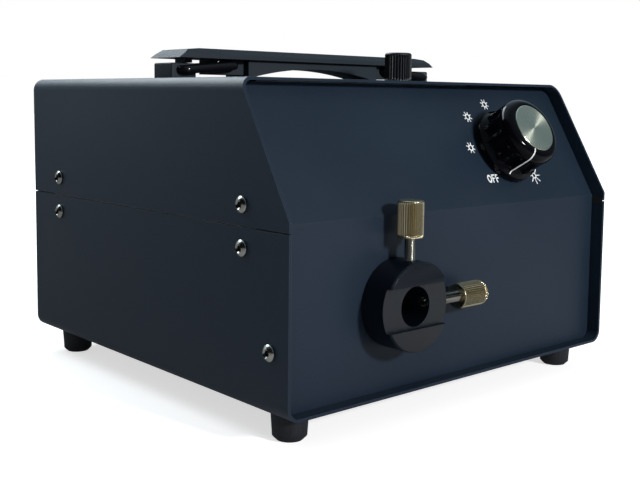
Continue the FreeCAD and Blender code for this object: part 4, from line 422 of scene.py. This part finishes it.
# A lighter copy of the port's black, with scratches, for the slot's floor and the face below it: the lighter tone is
# painted light.
PORT_LIT_FACE = material("port_face_painted_light", (0.0024, 0.0046, 0.0085), (0.0044, 0.0075, 0.0125), (0.34, 0.42), 0.16,
                       grain=1500.0, scratch_tone=(0.03, 0.04, 0.045))
NICKEL = material("warm_nickel", (0.40, 0.35, 0.23), (0.60, 0.53, 0.37), (0.22, 0.32), 0.15,
                  scratch_tone=(0.3, 0.27, 0.2), Metallic=1.0)
PLATED = material("plated_steel", (0.40, 0.40, 0.37), (0.62, 0.61, 0.56), (0.16, 0.26), 0.1,
                  scratch_tone=(0.25, 0.25, 0.24), Metallic=1.0)
KNOB_BLACK = material("knob_black", (0.0013, 0.0013, 0.0022), (0.0024, 0.0024, 0.0038), (0.07, 0.11), 0.03,
                      dust=0.02, Specular_IOR_Level=0.14)
RIBBED_BLACK = material("ribbed_black", (0.004, 0.006, 0.009), (0.009, 0.012, 0.017), (0.40, 0.50), 0.15,
                        dust=0.15, Specular_IOR_Level=0.4)
GRIP_BLACK = material("grip_black", (0.0130, 0.0200, 0.0290), (0.0210, 0.0310, 0.0410), (0.50, 0.60), 0.35,
                      grain=2200.0, dust=0.12, scratch_tone=(0.035, 0.045, 0.05), Specular_IOR_Level=0.22)
WIRE_BLACK = material("wire_black", (0.003, 0.003, 0.004), (0.008, 0.008, 0.010), (0.10, 0.18), 0.05)
RUBBER = material("foot_rubber", (0.0080, 0.0100, 0.0145), (0.0150, 0.0180, 0.0240), (0.55, 0.70), 0.5,
                  dust=0.3, Specular_IOR_Level=0.35)
# Painted shade: a near-black finish for the insides of the cover screws' sockets and for the strips behind the
# covers' seam.
SHADE_BLACK = material("painted_shade_black", (0.006, 0.006, 0.007), (0.014, 0.013, 0.013), (0.5, 0.7), 0.2)
ZINC = material("zinc_steel", (0.34, 0.35, 0.35), (0.56, 0.56, 0.54), (0.28, 0.42), 0.1, broad=60.0, Metallic=1.0)
PRINT = material("dial_print", (0.74, 0.77, 0.78), (0.86, 0.88, 0.88), (0.45, 0.6), 0.05)
LINE = material("pointer_paint", (0.70, 0.72, 0.72), (0.85, 0.86, 0.85), (0.3, 0.4), 0.05)
GLASS = material("lamp_glass", (0.85, 0.9, 0.88), (0.95, 0.97, 0.95), (0.02, 0.06), 0.02,
                 Transmission_Weight=0.9)
MIRROR = material("lamp_mirror", (0.60, 0.62, 0.68), (0.82, 0.82, 0.84), (0.10, 0.2), 0.3, Metallic=1.0)
CERAMIC = material("lamp_ceramic", (0.60, 0.57, 0.50), (0.75, 0.72, 0.65), (0.6, 0.8), 0.3)
MOULDED = material("moulded_black", (0.006, 0.006, 0.007), (0.014, 0.014, 0.016), (0.35, 0.5), 0.3, dust=0.1)
IRON = material("core_iron", (0.05, 0.045, 0.04), (0.12, 0.11, 0.10), (0.45, 0.6), 0.4, Metallic=0.6)
COPPER = material("copper_wire", (0.36, 0.12, 0.04), (0.60, 0.24, 0.09), (0.25, 0.4), 0.3, Metallic=0.8)
BOARD = material("board_resin", (0.02, 0.07, 0.025), (0.04, 0.12, 0.04), (0.35, 0.5), 0.1)
SINK = material("heat_sink", (0.45, 0.46, 0.47), (0.62, 0.63, 0.64), (0.3, 0.4), 0.1, Metallic=1.0)


def spun_cap():
    """Spun metal: fine rings round the dial's axis, and a highlight drawn out along the rings' own map."""
    # The pale metal is the cap's own; the yellow-green tint of both colours is a painted reflection of warm
    # surroundings.
    finish = material("spun_cap", (0.80, 0.84, 0.68), (0.98, 0.98, 0.80), (0.26, 0.32), 0.12,
                      rings=(tuple(DIAL), tuple(OUTWARD), 0.00035, 1.5), Metallic=1.0, Anisotropic=0.85,
                      Anisotropic_Rotation=0.25)
    graph = Graph(finish.node_tree)
    around = graph.add("ShaderNodeTangent", direction_type="UV_MAP", uv_map="round")
    graph.feed(finish.node_tree.nodes["Principled BSDF"].inputs["Tangent"], around.outputs[0])
    return finish


CAP = spun_cap()
FINISHES = {"case_paint": CASE_PAINT, "port_black": PORT_BLACK, "plated_screw": PLATED, "knurled_screw": NICKEL,
            "knob_black": KNOB_BLACK, "spun_cap": CAP, "handle_plastic": GRIP_BLACK, "wire_black": WIRE_BLACK,
            "foot_rubber": RUBBER, "zinc_steel": ZINC, "lamp_glass": GLASS, "lamp_ceramic": CERAMIC,
            "inner_plastic": MOULDED, "core_iron": IRON, "copper_wire": COPPER, "board_resin": BOARD,
            "heat_sink": SINK}
for part in frame["record"]["subparts"]:
    mesh = nodes[part["node"]].data
    mesh.materials.clear()
    mesh.materials.append(MIRROR if part["node"] == "lamp_reflector" else FINISHES[part["material_slot"]])


# Case and panels with softened edges

COVER_BEVEL = 0.14
PANEL_BEVEL = 0.22
GRIP_BEVEL = 0.12
BASE_BEVEL = 0.3
for name in ("upper_cover", "lower_cover"):
    softened(name, COVER_BEVEL, CASE_PAINT, WORN_EDGE_HIGHLIGHT)
for name in ("front_panel", "rear_panel", "lamp_hatch"):
    softened(name, PANEL_BEVEL, CASE_PAINT, WORN_EDGE_HIGHLIGHT)
softened("handle_grip", GRIP_BEVEL, GRIP_BLACK, angle=20)
for side in ("left", "right"):
    softened("handle_base_" + side, BASE_BEVEL, GRIP_BLACK)


PORT_BEVEL = 0.3
PORT_FACE = span("light_port")[0][1] + 3 * MM
SLOT_TOP = 56 * MM


def finished_port():
    """The port with its edges bevelled and given a painted highlight, and a lighter copy of its finish, with
    scratches, on the slot's floor and on the face below it as painted light.
    """
    port = softened("light_port", PORT_BEVEL, PORT_BLACK, PORT_EDGE_HIGHLIGHT, angle=40)
    port.data.materials.append(PORT_LIT_FACE)
    lit_face = len(port.data.materials) - 1
    # The slot's floor and the face below it take the lighter copy: painted light.
    for face in port.data.polygons:
        if face.normal.y < -0.9 and face.center.y < PORT_FACE and face.center.z < SLOT_TOP:
            face.material_index = lit_face


finished_port()
softened("rubber_feet", 0.4, RUBBER, angle=50)
softened("mains_inlet", 0.3, MOULDED)
softened("fuse_drawer", 0.25, MOULDED)
softened("fan_frame", 0.3, MOULDED, angle=40)


# Thumb screws: knurled or ribbed heads, and threaded studs with a cup point

def ribbed(count, depth, low, high, run_out, power=1.0):
    """Grooves round a head: the radius less a depth times a wave of the angle, fading out at both ends."""
    def radius_at(radius, height, turn):
        wave = (0.5 + 0.5 * np.cos(count * turn)) ** power
        there = fade(height, low, low + run_out) * (1 - fade(height, high - run_out, high))
        return radius - depth * wave * there
    return radius_at


def threaded(root, pitch, low, high):
    """A screw thread: the radius falls to the root and back along the height less the turn's share of a pitch."""
    def radius_at(radius, height, turn):
        share = (height / pitch - turn / (2 * math.pi)) % 1
        depth = (radius - root) * np.abs(2 * share - 1) ** 0.8
        there = fade(height, low, low + pitch) * (1 - fade(height, high - pitch, high))
        return radius - depth * there
    return radius_at


def thumb_head(name, origin, axis, radius, height, bevel, grooves, finish, body):
    """A turned head with rounded rims, grooves round its side and a slightly crowned top."""
    side = fine([(radius, bevel), (radius, height - bevel)], 0.4)
    lower_rim = arc((radius - 0.5 * bevel, 0.5 * bevel), 0.5 * bevel, -90, 0, 4)
    upper_rim = arc((radius - bevel, height - bevel), bevel, 10, 80, 6)
    top = [(radius * 0.55, height + 0.05), (0, height + HEAD_CROWN)]
    profile = path([(0, 0)], [(radius - bevel, 0)], lower_rim, side, upper_rim, top)
    count, depth, run_out, power = grooves
    radius_at = ribbed(count, depth * MM, bevel * 0.6 * MM, (height - bevel * 0.6) * MM, run_out * MM, power)
    piece(name + "_finished", [turned(profile, count * 10, origin, axis, radius_at=radius_at)], body, finish,
          name, sharp=50)


def threaded_stud(name, tip, head, axis, radius, pitch, finish, body):
    """A stud from its cup point to its head, with a thread between them."""
    length = float(np.linalg.norm(np.asarray(head) - np.asarray(tip))) / MM
    side = fine([(radius, THREAD_START), (radius, length)], pitch / 12)
    radius_at = threaded((radius - THREAD_SHARE * pitch) * MM, pitch * MM, THREAD_START * MM,
                         (length + pitch) * MM)

    def above_cup(distance, height, turn):
        return np.where(height > CUP_TOP * MM, radius_at(distance, height, turn), distance)
    profile = path(CUP_POINT, side, [(0, length)])
    piece(name + "_finished", [turned(profile, 40, tip, axis, radius_at=above_cup)], body, finish, name, sharp=60)


UP = np.array([0.0, 0.0, 1.0])
SIDEWAYS = np.array([1.0, 0.0, 0.0])
HEAD_CROWN = 0.08
CUP_POINT = [(0, 2.6), (1.75, 2.3), (2.05, 0.0), (2.3, 0.0), (2.5, 0.3), (2.5, 1.4)]
CUP_TOP = 1.6
THREAD_START = 1.9
THREAD_SHARE = 0.62
LOCK_KNURL = (34, 0.58, 0.7, 0.8)
LOCK_BEVEL = 0.8
HATCH_RIBS = (30, 0.75, 1.2, 0.6)
HATCH_BEVEL = 1.2
STUD_RADIUS = 2.5
STUD_PITCH = 0.8
STUD_GRIP = 2 * MM


def lock_screw(lock, axis):
    """One of the port's screws: the knurled head and the stud that runs into the bore."""
    low, high, middle = span(lock + "_head")
    size = high - low
    base = middle - axis * (size @ axis) / 2
    radius = size @ (1 - axis) / 4 / MM
    stud_low, stud_high, stud_middle = span(lock + "_stud")
    tip = stud_middle - axis * ((stud_high - stud_low) @ axis) / 2
    thumb_head(lock + "_head", base, axis, radius, size @ axis / MM, LOCK_BEVEL, LOCK_KNURL, NICKEL,
               body_of(nodes[lock + "_head"])[0])
    threaded_stud(lock + "_stud", tip, base + axis * STUD_GRIP, axis, STUD_RADIUS, STUD_PITCH, PLATED,
                  body_of(nodes[lock + "_stud"])[0])


def hatch_screw():
    """The ribbed black knob that holds the hatch down."""
    low, high, middle = span("hatch_screw_head")
    thumb_head("hatch_screw_head", (middle[0], middle[1], low[2]), UP, (high[0] - low[0]) / 2 / MM,
               (high[2] - low[2]) / MM, HATCH_BEVEL, HATCH_RIBS, RIBBED_BLACK,
               body_of(nodes["hatch_screw_head"])[0])


lock_screw("top_lock", UP)
lock_screw("side_lock", SIDEWAYS)
hatch_screw()


# Cover screws: domed heads with a hexagon socket, painted dark inside as shade

def hexagon(corner, low):
    """A round profile's radius turned into a hexagon's, below a height."""
    def radius_at(radius, height, turn):
        flat = corner * math.cos(math.pi / 6) / np.cos((turn % (math.pi / 3)) - math.pi / 6)
        return np.where((height < low) & (radius > 0) & (radius < 1.1 * corner), flat * radius / corner, radius)
    return radius_at


HEAD_RADIUS = 3.3
SOCKET_RADIUS = 1.3
SOCKET_RIM = 1.4 * MM
DOME_CENTRE = (0, -2.347)
DOME_RADIUS = 4.491
DOME_TURN = (42.7, 66.5)
SCREW_PLACES = np.array([(-70.65, 89.5), (76.55, 89.5), (-70.65, 73.1), (76.55, 73.1), (-87.55, 36.5)]) * MM


def cover_screws():
    """Ten heads on the sides, in pairs, each a dome with a rim and a socket whose inside is painted in shade."""
    dome = arc(DOME_CENTRE, DOME_RADIUS, *DOME_TURN, 9)
    profile = path([(0, 0.45)], [(SOCKET_RADIUS, 0.55)], [(SOCKET_RADIUS, 1.35)], [(1.62, 1.62)], dome[::-1],
                   [(HEAD_RADIUS, 0.2)], [(HEAD_RADIUS - 0.15, 0)], [(0, 0)])
    parts = []
    for side in (-1, 1):
        for y, z in SCREW_PLACES:
            parts.append(turned(profile, 48, (side * HALF, y, z), SIDEWAYS * side,
                                radius_at=hexagon(SOCKET_RADIUS * MM, SOCKET_RIM)))
    heads = piece("cover_screws_finished", parts, body_of(nodes["cover_screws"])[0], PLATED, "cover_screws",
                  sharp=45)
    heads.data.materials.append(SHADE_BLACK)
    # Faces inside each socket take the dark finish: painted shade in the hollow.
    for face in heads.data.polygons:
        arm = np.array(face.center[1:]) - SCREW_PLACES
        near = np.linalg.norm(arm, axis=1).min() < (SOCKET_RADIUS + 0.02) * MM
        outside = abs(face.center[0]) > HALF + 0.2 * MM
        face.material_index = 1 if near and outside else 0


cover_screws()


# Dimmer: fluted knob, spun cap, pointer line and the dial's print

GRIP_RADIUS = 16.0
CROWN_START = 15.9
CROWN_RADIUS = 12.2
CAP_RADIUS = 11.3
KNOB_TOP = 20.2
FLUTES = 12
FLUTE_DEPTH = 1.3 * MM
FLUTE_CUTTER = 4.6 * MM
FLUTE_END = (13.0 * MM, 17.2 * MM)
FLUTE_REACH = 12.9 * MM
LIP = 0.08 * MM
SKIRT_TOP = 5.2 * MM
SKIRT_SLOPE = 0.62
SKIRT_FOOT = (16.7, 0.8)
SKIRT_EDGE = ((16.9, 1.4), 0.6, -90, 0, 4)
SKIRT_RIM = ((16.95, 3.75), 0.55, 0, 57, 6)
SHAFT_RADIUS = 3.05
SHAFT_DEPTH = 17
CAP_GAP = 0.1
CAP_SEAT = 1.2
CAP_RIM = 0.3
CAP_DISH = (0.22, 0.08)
POINTER_FOOT = [(GRIP_RADIUS, 5.4), (GRIP_RADIUS + 0.2, 5.1), (16.6, 4.75), (17.1, 4.4)]
POINTER_HALF = 0.32
POINTER_LOW = -0.15
POINTER_HIGH = 0.10
POINTER_TURN = math.radians(90 - 210)


def fluted(radius, height, turn):
    """The knob's radius where round cutters have left flutes, down to the skirt's slope, with blended lips."""
    pitch = 2 * math.pi / FLUTES
    away = (turn - POINTER_TURN) % pitch - pitch / 2
    centre = GRIP_RADIUS * MM + FLUTE_CUTTER - FLUTE_DEPTH
    inside = np.clip(FLUTE_CUTTER ** 2 - (centre * np.sin(away)) ** 2, 0, None)
    wall = np.where(inside > 0, centre * np.cos(away) - np.sqrt(inside), radius + FLUTE_CUTTER)
    foot = GRIP_RADIUS * MM - np.clip(height - SKIRT_TOP, 0, None) / SKIRT_SLOPE
    wall = np.maximum(wall, foot) + FLUTE_DEPTH * 1.5 * fade(height, *FLUTE_END)
    nearer = np.clip(wall - radius, -4 * MM, 4 * MM)
    cut = -LIP * np.log(1 + np.exp(-nearer / LIP))
    return np.where((height > SKIRT_TOP) & (radius > FLUTE_REACH), radius + cut, radius)


def crown(start, end, count):
    """The crown's curve, a quarter of an ellipse, between two angles from the grip's side to the top."""
    turn = np.linspace(start, end, count)[:, None]
    return np.concatenate([CROWN_RADIUS + (GRIP_RADIUS - CROWN_RADIUS) * np.cos(turn),
                           CROWN_START + (KNOB_TOP - CROWN_START) * np.sin(turn)], 1)


def dimmer_knob():
    """Skirt, fluted grip and crown, with a round recess for the cap."""
    skirt = np.concatenate([[SKIRT_FOOT], arc(*SKIRT_EDGE), arc(*SKIRT_RIM)])
    slope = fine([skirt[-1], (GRIP_RADIUS, SKIRT_TOP / MM)], 0.5)[1:]
    grip = fine([(GRIP_RADIUS, SKIRT_TOP / MM), (GRIP_RADIUS, SKIRT_TOP / MM + 1.3)], 0.1)[1:]
    grip = np.concatenate([grip, fine([(GRIP_RADIUS, SKIRT_TOP / MM + 1.3), (GRIP_RADIUS, CROWN_START)], 0.6)[1:]])
    bore = [(0, SHAFT_DEPTH), (SHAFT_RADIUS, SHAFT_DEPTH), (SHAFT_RADIUS, SKIRT_FOOT[1])]
    recess = [(CAP_RADIUS + 0.25, KNOB_TOP - 0.05), (CAP_RADIUS + CAP_GAP, KNOB_TOP - 0.3),
              (CAP_RADIUS + CAP_GAP, KNOB_TOP - CAP_SEAT), (0, KNOB_TOP - CAP_SEAT)]
    profile = path(bore, skirt, slope, grip, crown(0, math.pi / 2, 16)[1:], recess)
    parts = [turned(profile, 288, DIAL, OUTWARD, (1, 0, 0), fluted)]
    piece("dimmer_knob_finished", parts, "dimmer", KNOB_BLACK, "dimmer_knob", sharp=38)


def knob_cap():
    """A thin spun disc with a rolled rim and a faint dish, and a map that runs round it."""
    flat = CAP_RADIUS - 2 * CAP_RIM
    rings = np.linspace(flat, 0.0, 24)
    dish = np.stack([rings, KNOB_TOP + CAP_DISH[0] + CAP_DISH[1] * (rings / flat) ** 2], -1)
    base = KNOB_TOP - CAP_SEAT + CAP_GAP
    profile = path([(0, base)], [(CAP_RADIUS - 0.1, base)], [(CAP_RADIUS, KNOB_TOP - 0.1)],
                   arc((CAP_RADIUS - CAP_RIM, KNOB_TOP), CAP_RIM, 0, 90, 5), dish)
    points, faces = turned(profile, 96, DIAL, OUTWARD, (1, 0, 0))
    thing = piece("knob_cap_finished", [(points, faces)], "dimmer", CAP, "knob_cap", sharp=40)
    chart = thing.data.uv_layers.new(name="round")
    corners = np.empty(len(thing.data.vertices) * 3)
    thing.data.vertices.foreach_get("co", corners)
    arm = corners.reshape(-1, 3) - DIAL
    turn = np.arctan2(arm @ ALONG, arm[:, 0]) / (2 * math.pi)
    reach = np.linalg.norm(arm - np.outer(arm @ OUTWARD, OUTWARD), axis=1) / (12 * MM)
    map_points = np.zeros((len(thing.data.loops), 2))
    for face in thing.data.polygons:
        ring = [thing.data.loops[place].vertex_index for place in face.loop_indices]
        turns = turn[ring]
        rim = reach[ring] > 1e-3
        turns = np.where(rim, turns, turns[rim].mean() if rim.any() else 0)
        if turns.max() - turns.min() > 0.5:
            turns = np.where(turns < 0, turns + 1, turns)
        map_points[list(face.loop_indices)] = np.stack([turns, reach[ring]], -1)
    chart.data.foreach_set("uv", map_points.ravel())


def pointer_line():
    """A raised painted line from the cap's rim over the crown and down the grip to the skirt."""
    line = np.concatenate([[(CROWN_RADIUS - 0.4, KNOB_TOP + 0.02)], crown(math.pi / 2, 0, 14), POINTER_FOOT])
    slope = np.gradient(line, axis=0)
    outward = np.stack([-slope[:, 1], slope[:, 0]], -1)
    outward /= -np.linalg.norm(outward, axis=1, keepdims=True)
    ring = []
    for lift, aside in ((POINTER_LOW, -POINTER_HALF), (POINTER_LOW, POINTER_HALF), (POINTER_HIGH, POINTER_HALF),
                        (POINTER_HIGH, -POINTER_HALF)):
        edge = line + outward * lift
        ring.append(np.stack([edge[:, 0], np.full(len(edge), aside), edge[:, 1]], -1))
    local = np.stack(ring, 1) * MM
    cos, sin = math.cos(POINTER_TURN), math.sin(POINTER_TURN)
    local = np.stack([local[..., 0] * cos - local[..., 1] * sin, local[..., 0] * sin + local[..., 1] * cos,
                      local[..., 2]], -1)
    rows = len(line)
    faces = grid_faces(rows, 4) + [(3, 2, 1, 0), tuple(4 * (rows - 1) + corner for corner in range(4))]
    piece("pointer_line", [(placed(local, DIAL, OUTWARD, (1, 0, 0)), faces)], "dimmer", LINE, sharp=30)


LABEL_RISE = 28.1 * MM
LABEL_CENTRE = np.array([DIAL_X, PANEL_FRONT, FOLD_Z]) + ALONG * LABEL_RISE
LABEL_RADIUS = 22.1
INK = 0.05
SMALL_SUNS = (270, 315, 0, 45, 90)
FULL_LIGHT = 135
OFF_MARK = 225
# Inner and outer radius, reach, number and width of the rays
SMALL_SUN = (0.95, 1.6, 2.75, 8, 0.46)
LARGE_SUN = (0.95, 1.55, 4.3, 8, 0.5)
# The round letter's inner and outer radius and height, then the other letters' places and strokes
ROUND_LETTER = (0.78, 1.42, 1.4)
LETTER_PLACES = (0.1, 2.6)
LETTER_STROKES = ((0, -2.0, 0, 2.0), (0, 1.67, 1.8, 1.67), (0, 0.1, 1.5, 0.1))
LETTER_WIDTH = 0.66


def on_dial(clock, x, y):
    """Corners at x and y about a mark on the dial's circle, as local x and y in millimetres."""
    around = math.radians(clock)
    return LABEL_RADIUS * math.sin(around) + np.asarray(x), LABEL_RADIUS * math.cos(around) + np.asarray(y)


def printed(clock, outline):
    """A thin printed shape: an outline of corners raised from the panel by the ink's thickness."""
    outline = np.asarray(outline, float)
    x, y = on_dial(clock, outline[:, 0], outline[:, 1])
    count = len(outline)
    rows = [np.stack([x, y, np.full(count, level)], -1) for level in (-INK, INK)]
    local = np.stack(rows) * MM
    faces = grid_faces(2, count) + [tuple(range(count))[::-1], tuple(range(count, 2 * count))]
    return placed(local, LABEL_CENTRE, OUTWARD, (1, 0, 0)), faces


def printed_ring(clock, inner, outer, tall=1.0, aside=0.0):
    """A printed ring between two radii, drawn out upwards by a factor and moved aside."""
    profile = np.array([(inner, -INK), (outer, -INK), (outer, INK), (inner, INK), (inner, -INK)])
    turn = np.linspace(0, 2 * math.pi, 32, endpoint=False)
    x, y = on_dial(clock, aside + profile[:, :1] * np.cos(turn), profile[:, :1] * np.sin(turn) * tall)
    local = np.stack([x, y, np.repeat(profile[:, 1:], 32, 1)], -1) * MM
    return placed(local, LABEL_CENTRE, OUTWARD, (1, 0, 0)), grid_faces(5, 32)


def bar(x0, y0, x1, y1, width):
    """The four corners of a bar from one point to another."""
    start, end = np.array([x0, y0]), np.array([x1, y1])
    ahead = (end - start) / np.linalg.norm(end - start)
    aside = np.array([-ahead[1], ahead[0]]) * width / 2
    return [start - aside, end - aside, end + aside, start + aside]


def sun(clock, inner, outer, reach, rays, width, start=0.5, aside=0.0):
    """A small sun: a ring with rays round it, the first of them part of a step round from level."""
    parts = [printed_ring(clock, inner, outer, aside=aside)]
    for place in range(rays):
        turn = 2 * math.pi * (place + start) / rays
        cos, sin = math.cos(turn), math.sin(turn)
        parts.append(printed(clock, bar(aside + cos * outer * 0.92, sin * outer * 0.92,
                                        aside + cos * reach, sin * reach, width)))
    return parts


def dial_print():
    """Five small suns, a large one for full light, and the word OFF."""
    parts = []
    for clock in SMALL_SUNS:
        parts += sun(clock, *SMALL_SUN, aside=0.4)
    parts += sun(FULL_LIGHT, *LARGE_SUN, start=0.0, aside=-0.9)
    parts.append(printed_ring(OFF_MARK, *ROUND_LETTER, aside=-2.0))
    for left in LETTER_PLACES:
        for x0, y0, x1, y1 in LETTER_STROKES:
            parts.append(printed(OFF_MARK, bar(left + x0, y0, left + x1, y1, LETTER_WIDTH)))
    piece("dial_print", parts, body_of(nodes["front_panel"])[0], PRINT, sharp=30)


dimmer_knob()
knob_cap()
pointer_line()
dial_print()


# Dark strips of painted shade that close the seam between the covers from inside, ahead of the side rails and behind
# them

WALL = 1.2 * MM
STRIP_SHEET = 0.3 * MM
STRIP_HALF = 1.6 * MM
CASE_END_GAP = 0.4 * MM
RAIL_GAP = 0.2 * MM
SEAM_Z = (CASE_HIGH[2] + span("upper_cover")[0][2]) / 2


def seam_shade_strips():
    """Four thin strips of painted shade along the seam, each a rounded bar between the cover's wall and the panel's
    flange.
    """
    parts = []
    rail_low, rail_high, _ = span("side_rail_left")
    inner = HALF - WALL - STRIP_SHEET
    for side in (-1, 1):
        for start, end in ((FRONT + CASE_END_GAP, rail_low[1] - RAIL_GAP),
                           (rail_high[1] + RAIL_GAP, REAR - CASE_END_GAP)):
            turn = np.linspace(0, 2 * math.pi, 12, endpoint=False)
            section = np.stack([inner + STRIP_SHEET * (0.5 + 0.5 * np.cos(turn)),
                                SEAM_Z + STRIP_HALF * np.clip(1.4 * np.sin(turn), -1, 1)], -1)
            rows = [np.stack([side * section[:, 0], np.full(12, y), section[:, 1]], -1) for y in (start, end)]
            parts.append((np.stack(rows), grid_faces(2, 12) + [tuple(range(12))[::-1], tuple(range(12, 24))]))
    piece("seam_shade_strips", parts, body_of(nodes["lower_cover"])[0], SHADE_BLACK, sharp=40)


seam_shade_strips()


# Camera, lights and floor

def look(position, yaw, pitch, roll, lens, shift):
    """The camera: yaw and pitch point it, and roll turns it about its own axis."""
    ahead = Vector((math.sin(yaw) * math.cos(pitch), math.cos(yaw) * math.cos(pitch), -math.sin(pitch)))
    right = Vector((math.cos(yaw), -math.sin(yaw), 0))
    up = right.cross(ahead)
    across = right * math.cos(roll) + up * math.sin(roll)
    upward = up * math.cos(roll) - right * math.sin(roll)
    data = bpy.data.cameras.new("camera")
    data.lens = lens
    data.shift_y = shift
    data.clip_start = 0.01
    camera = bpy.data.objects.new("camera", data)
    turn = Matrix((across, upward, -ahead)).transposed()
    camera.matrix_world = Matrix.Translation(position) @ turn.to_4x4()
    bpy.context.scene.collection.objects.link(camera)
    bpy.context.scene.camera = camera


CAMERA_PLACE = Vector((-316.08, -361.23, 129.3)) * MM
CAMERA_TURNS = (math.radians(41.346), math.radians(5.675), math.radians(0.622))
CAMERA_LENS = 54.966
CAMERA_SHIFT = -0.0797
look(CAMERA_PLACE, *CAMERA_TURNS, CAMERA_LENS, CAMERA_SHIFT)


def soft_light(name, position, target, size, power, colour):
    """A rectangular area lamp at a place, pointed at another."""
    data = bpy.data.lights.new(name, "AREA")
    data.shape = "RECTANGLE"
    data.size, data.size_y = size
    data.energy = power
    data.color = colour
    lamp = bpy.data.objects.new(name, data)
    lamp.location = position
    lamp.rotation_euler = (Vector(target) - Vector(position)).to_track_quat("-Z", "Y").to_euler()
    bpy.context.scene.collection.objects.link(lamp)


WHITE = (1.0, 1.0, 1.0)
PALE_BLUE = (0.86, 0.95, 1.0)
COOL_BLUE = (0.75, 0.9, 1.0)
# Each lamp's name, place, target, size, power in watts and colour
LAMPS = (("key", (0.12, -1.25, 0.52), (0.0, -0.09, 0.07), (0.14, 0.14), 13, WHITE),
         ("overhead", (-0.1, 0.95, 0.95), (0.0, 0.0, 0.1), (1.2, 0.5), 14, PALE_BLUE),
         ("rear_left", (-0.42, 0.50, 0.20), (-0.1, 0.08, 0.09), (0.2, 0.25), 0.12, COOL_BLUE))
for lamp_values in LAMPS:
    soft_light(*lamp_values)

PLAIN_LIGHT = 0.24
MIRRORED_TINT = (0.66, 0.86, 1.0)
# Brightness at both ends of a range, then that range of a part of the direction
SKY_HEIGHT = (0.35, 0.9, 0.0, 0.8)
SKY_LEFT = (0.0, 1.0, -0.62, -0.42)
SKY_FRONT = (0.28, 1.0, -0.25, 0.35)


def studio_world():
    """White for the camera and glass, plain grey light for the rest, and for mirrors a bluish sky.

    The mirrored sky is its height's brightness times its brightness from left to right and from front to back.
    """
    world = bpy.data.worlds.new("studio")
    bpy.context.scene.world = world
    world.use_nodes = True
    sky = Graph(world.node_tree)
    background = world.node_tree.nodes["Background"]
    ray = sky.add("ShaderNodeLightPath")
    glossy = ray.outputs["Is Glossy Ray"]
    way = sky.add("ShaderNodeSeparateXYZ", Vector=sky.add("ShaderNodeTexCoord").outputs["Generated"])
    shown = sky.math("MAXIMUM", ray.outputs["Is Camera Ray"], ray.outputs["Is Transmission Ray"])
    height = sky.between(way.outputs[2], *SKY_HEIGHT)
    sides = sky.math("MULTIPLY", sky.between(way.outputs[0], *SKY_LEFT), sky.between(way.outputs[1], *SKY_FRONT))
    mirrored = sky.math("MULTIPLY", glossy, sky.math("MULTIPLY", height, sides))
    lit = sky.math("MULTIPLY", PLAIN_LIGHT, sky.math("SUBTRACT", 1.0, sky.math("MAXIMUM", shown, glossy)))
    sky.feed(background.inputs["Strength"], sky.math("ADD", sky.math("MAXIMUM", shown, mirrored), lit))
    sky.feed(background.inputs["Color"], sky.mix(glossy, WHITE, MIRRORED_TINT))


FLOOR_HALF = 6
FLOOR_WHITE = (0.85, 0.85, 0.85)
FLOOR_BRIGHT_SPOT = (0.2, -0.25, 0.0)
# Brightness at both ends of a range, then that range of the distance from the part or the spot
FLOOR_GLOW = (0.62, 1.0, 0.25, 0.9)
FLOOR_MIRRORED = (0.58, 0.17, 0.12, 0.52)
MIRRORED_GLOW = 0.1


def studio_floor():
    """A white sheet that glows more the further it lies from the part, and looks brighter in mirrors near a spot."""
    mesh = bpy.data.meshes.new("floor")
    corners = [(x * FLOOR_HALF, y * FLOOR_HALF, 0) for x, y in ((-1, -1), (1, -1), (1, 1), (-1, 1))]
    mesh.from_pydata(corners, [], [(0, 1, 2, 3)])
    floor = bpy.data.objects.new("floor", mesh)
    bpy.context.scene.collection.objects.link(floor)
    finish = bpy.data.materials.new("floor")
    finish.use_nodes = True
    paper = Graph(finish.node_tree)
    principled = finish.node_tree.nodes["Principled BSDF"]
    principled.inputs["Roughness"].default_value = 0.9
    principled.inputs["Specular IOR Level"].default_value = 0.1
    principled.inputs["Emission Color"].default_value = (*WHITE, 1)
    ray = paper.add("ShaderNodeLightPath")
    glossy = ray.outputs["Is Glossy Ray"]
    seen = paper.math("MAXIMUM", ray.outputs["Is Camera Ray"],
                      paper.math("MAXIMUM", glossy, ray.outputs["Is Transmission Ray"]))
    place = paper.add("ShaderNodeNewGeometry").outputs["Position"]
    reach = paper.vector("LENGTH", place).outputs["Value"]
    away = paper.vector("LENGTH", paper.vector("SUBTRACT", place, FLOOR_BRIGHT_SPOT).outputs[0]).outputs["Value"]
    glow = paper.math("MULTIPLY", paper.between(reach, *FLOOR_GLOW), paper.between(glossy, 1.0, MIRRORED_GLOW))
    paper.feed(principled.inputs["Base Color"],
               paper.mix(glossy, FLOOR_WHITE, paper.between(away, *FLOOR_MIRRORED)))
    paper.feed(principled.inputs["Emission Strength"], paper.math("MULTIPLY", seen, glow))
    mesh.materials.append(finish)


studio_world()
studio_floor()

bpy.context.scene.view_settings.view_transform = "Standard"
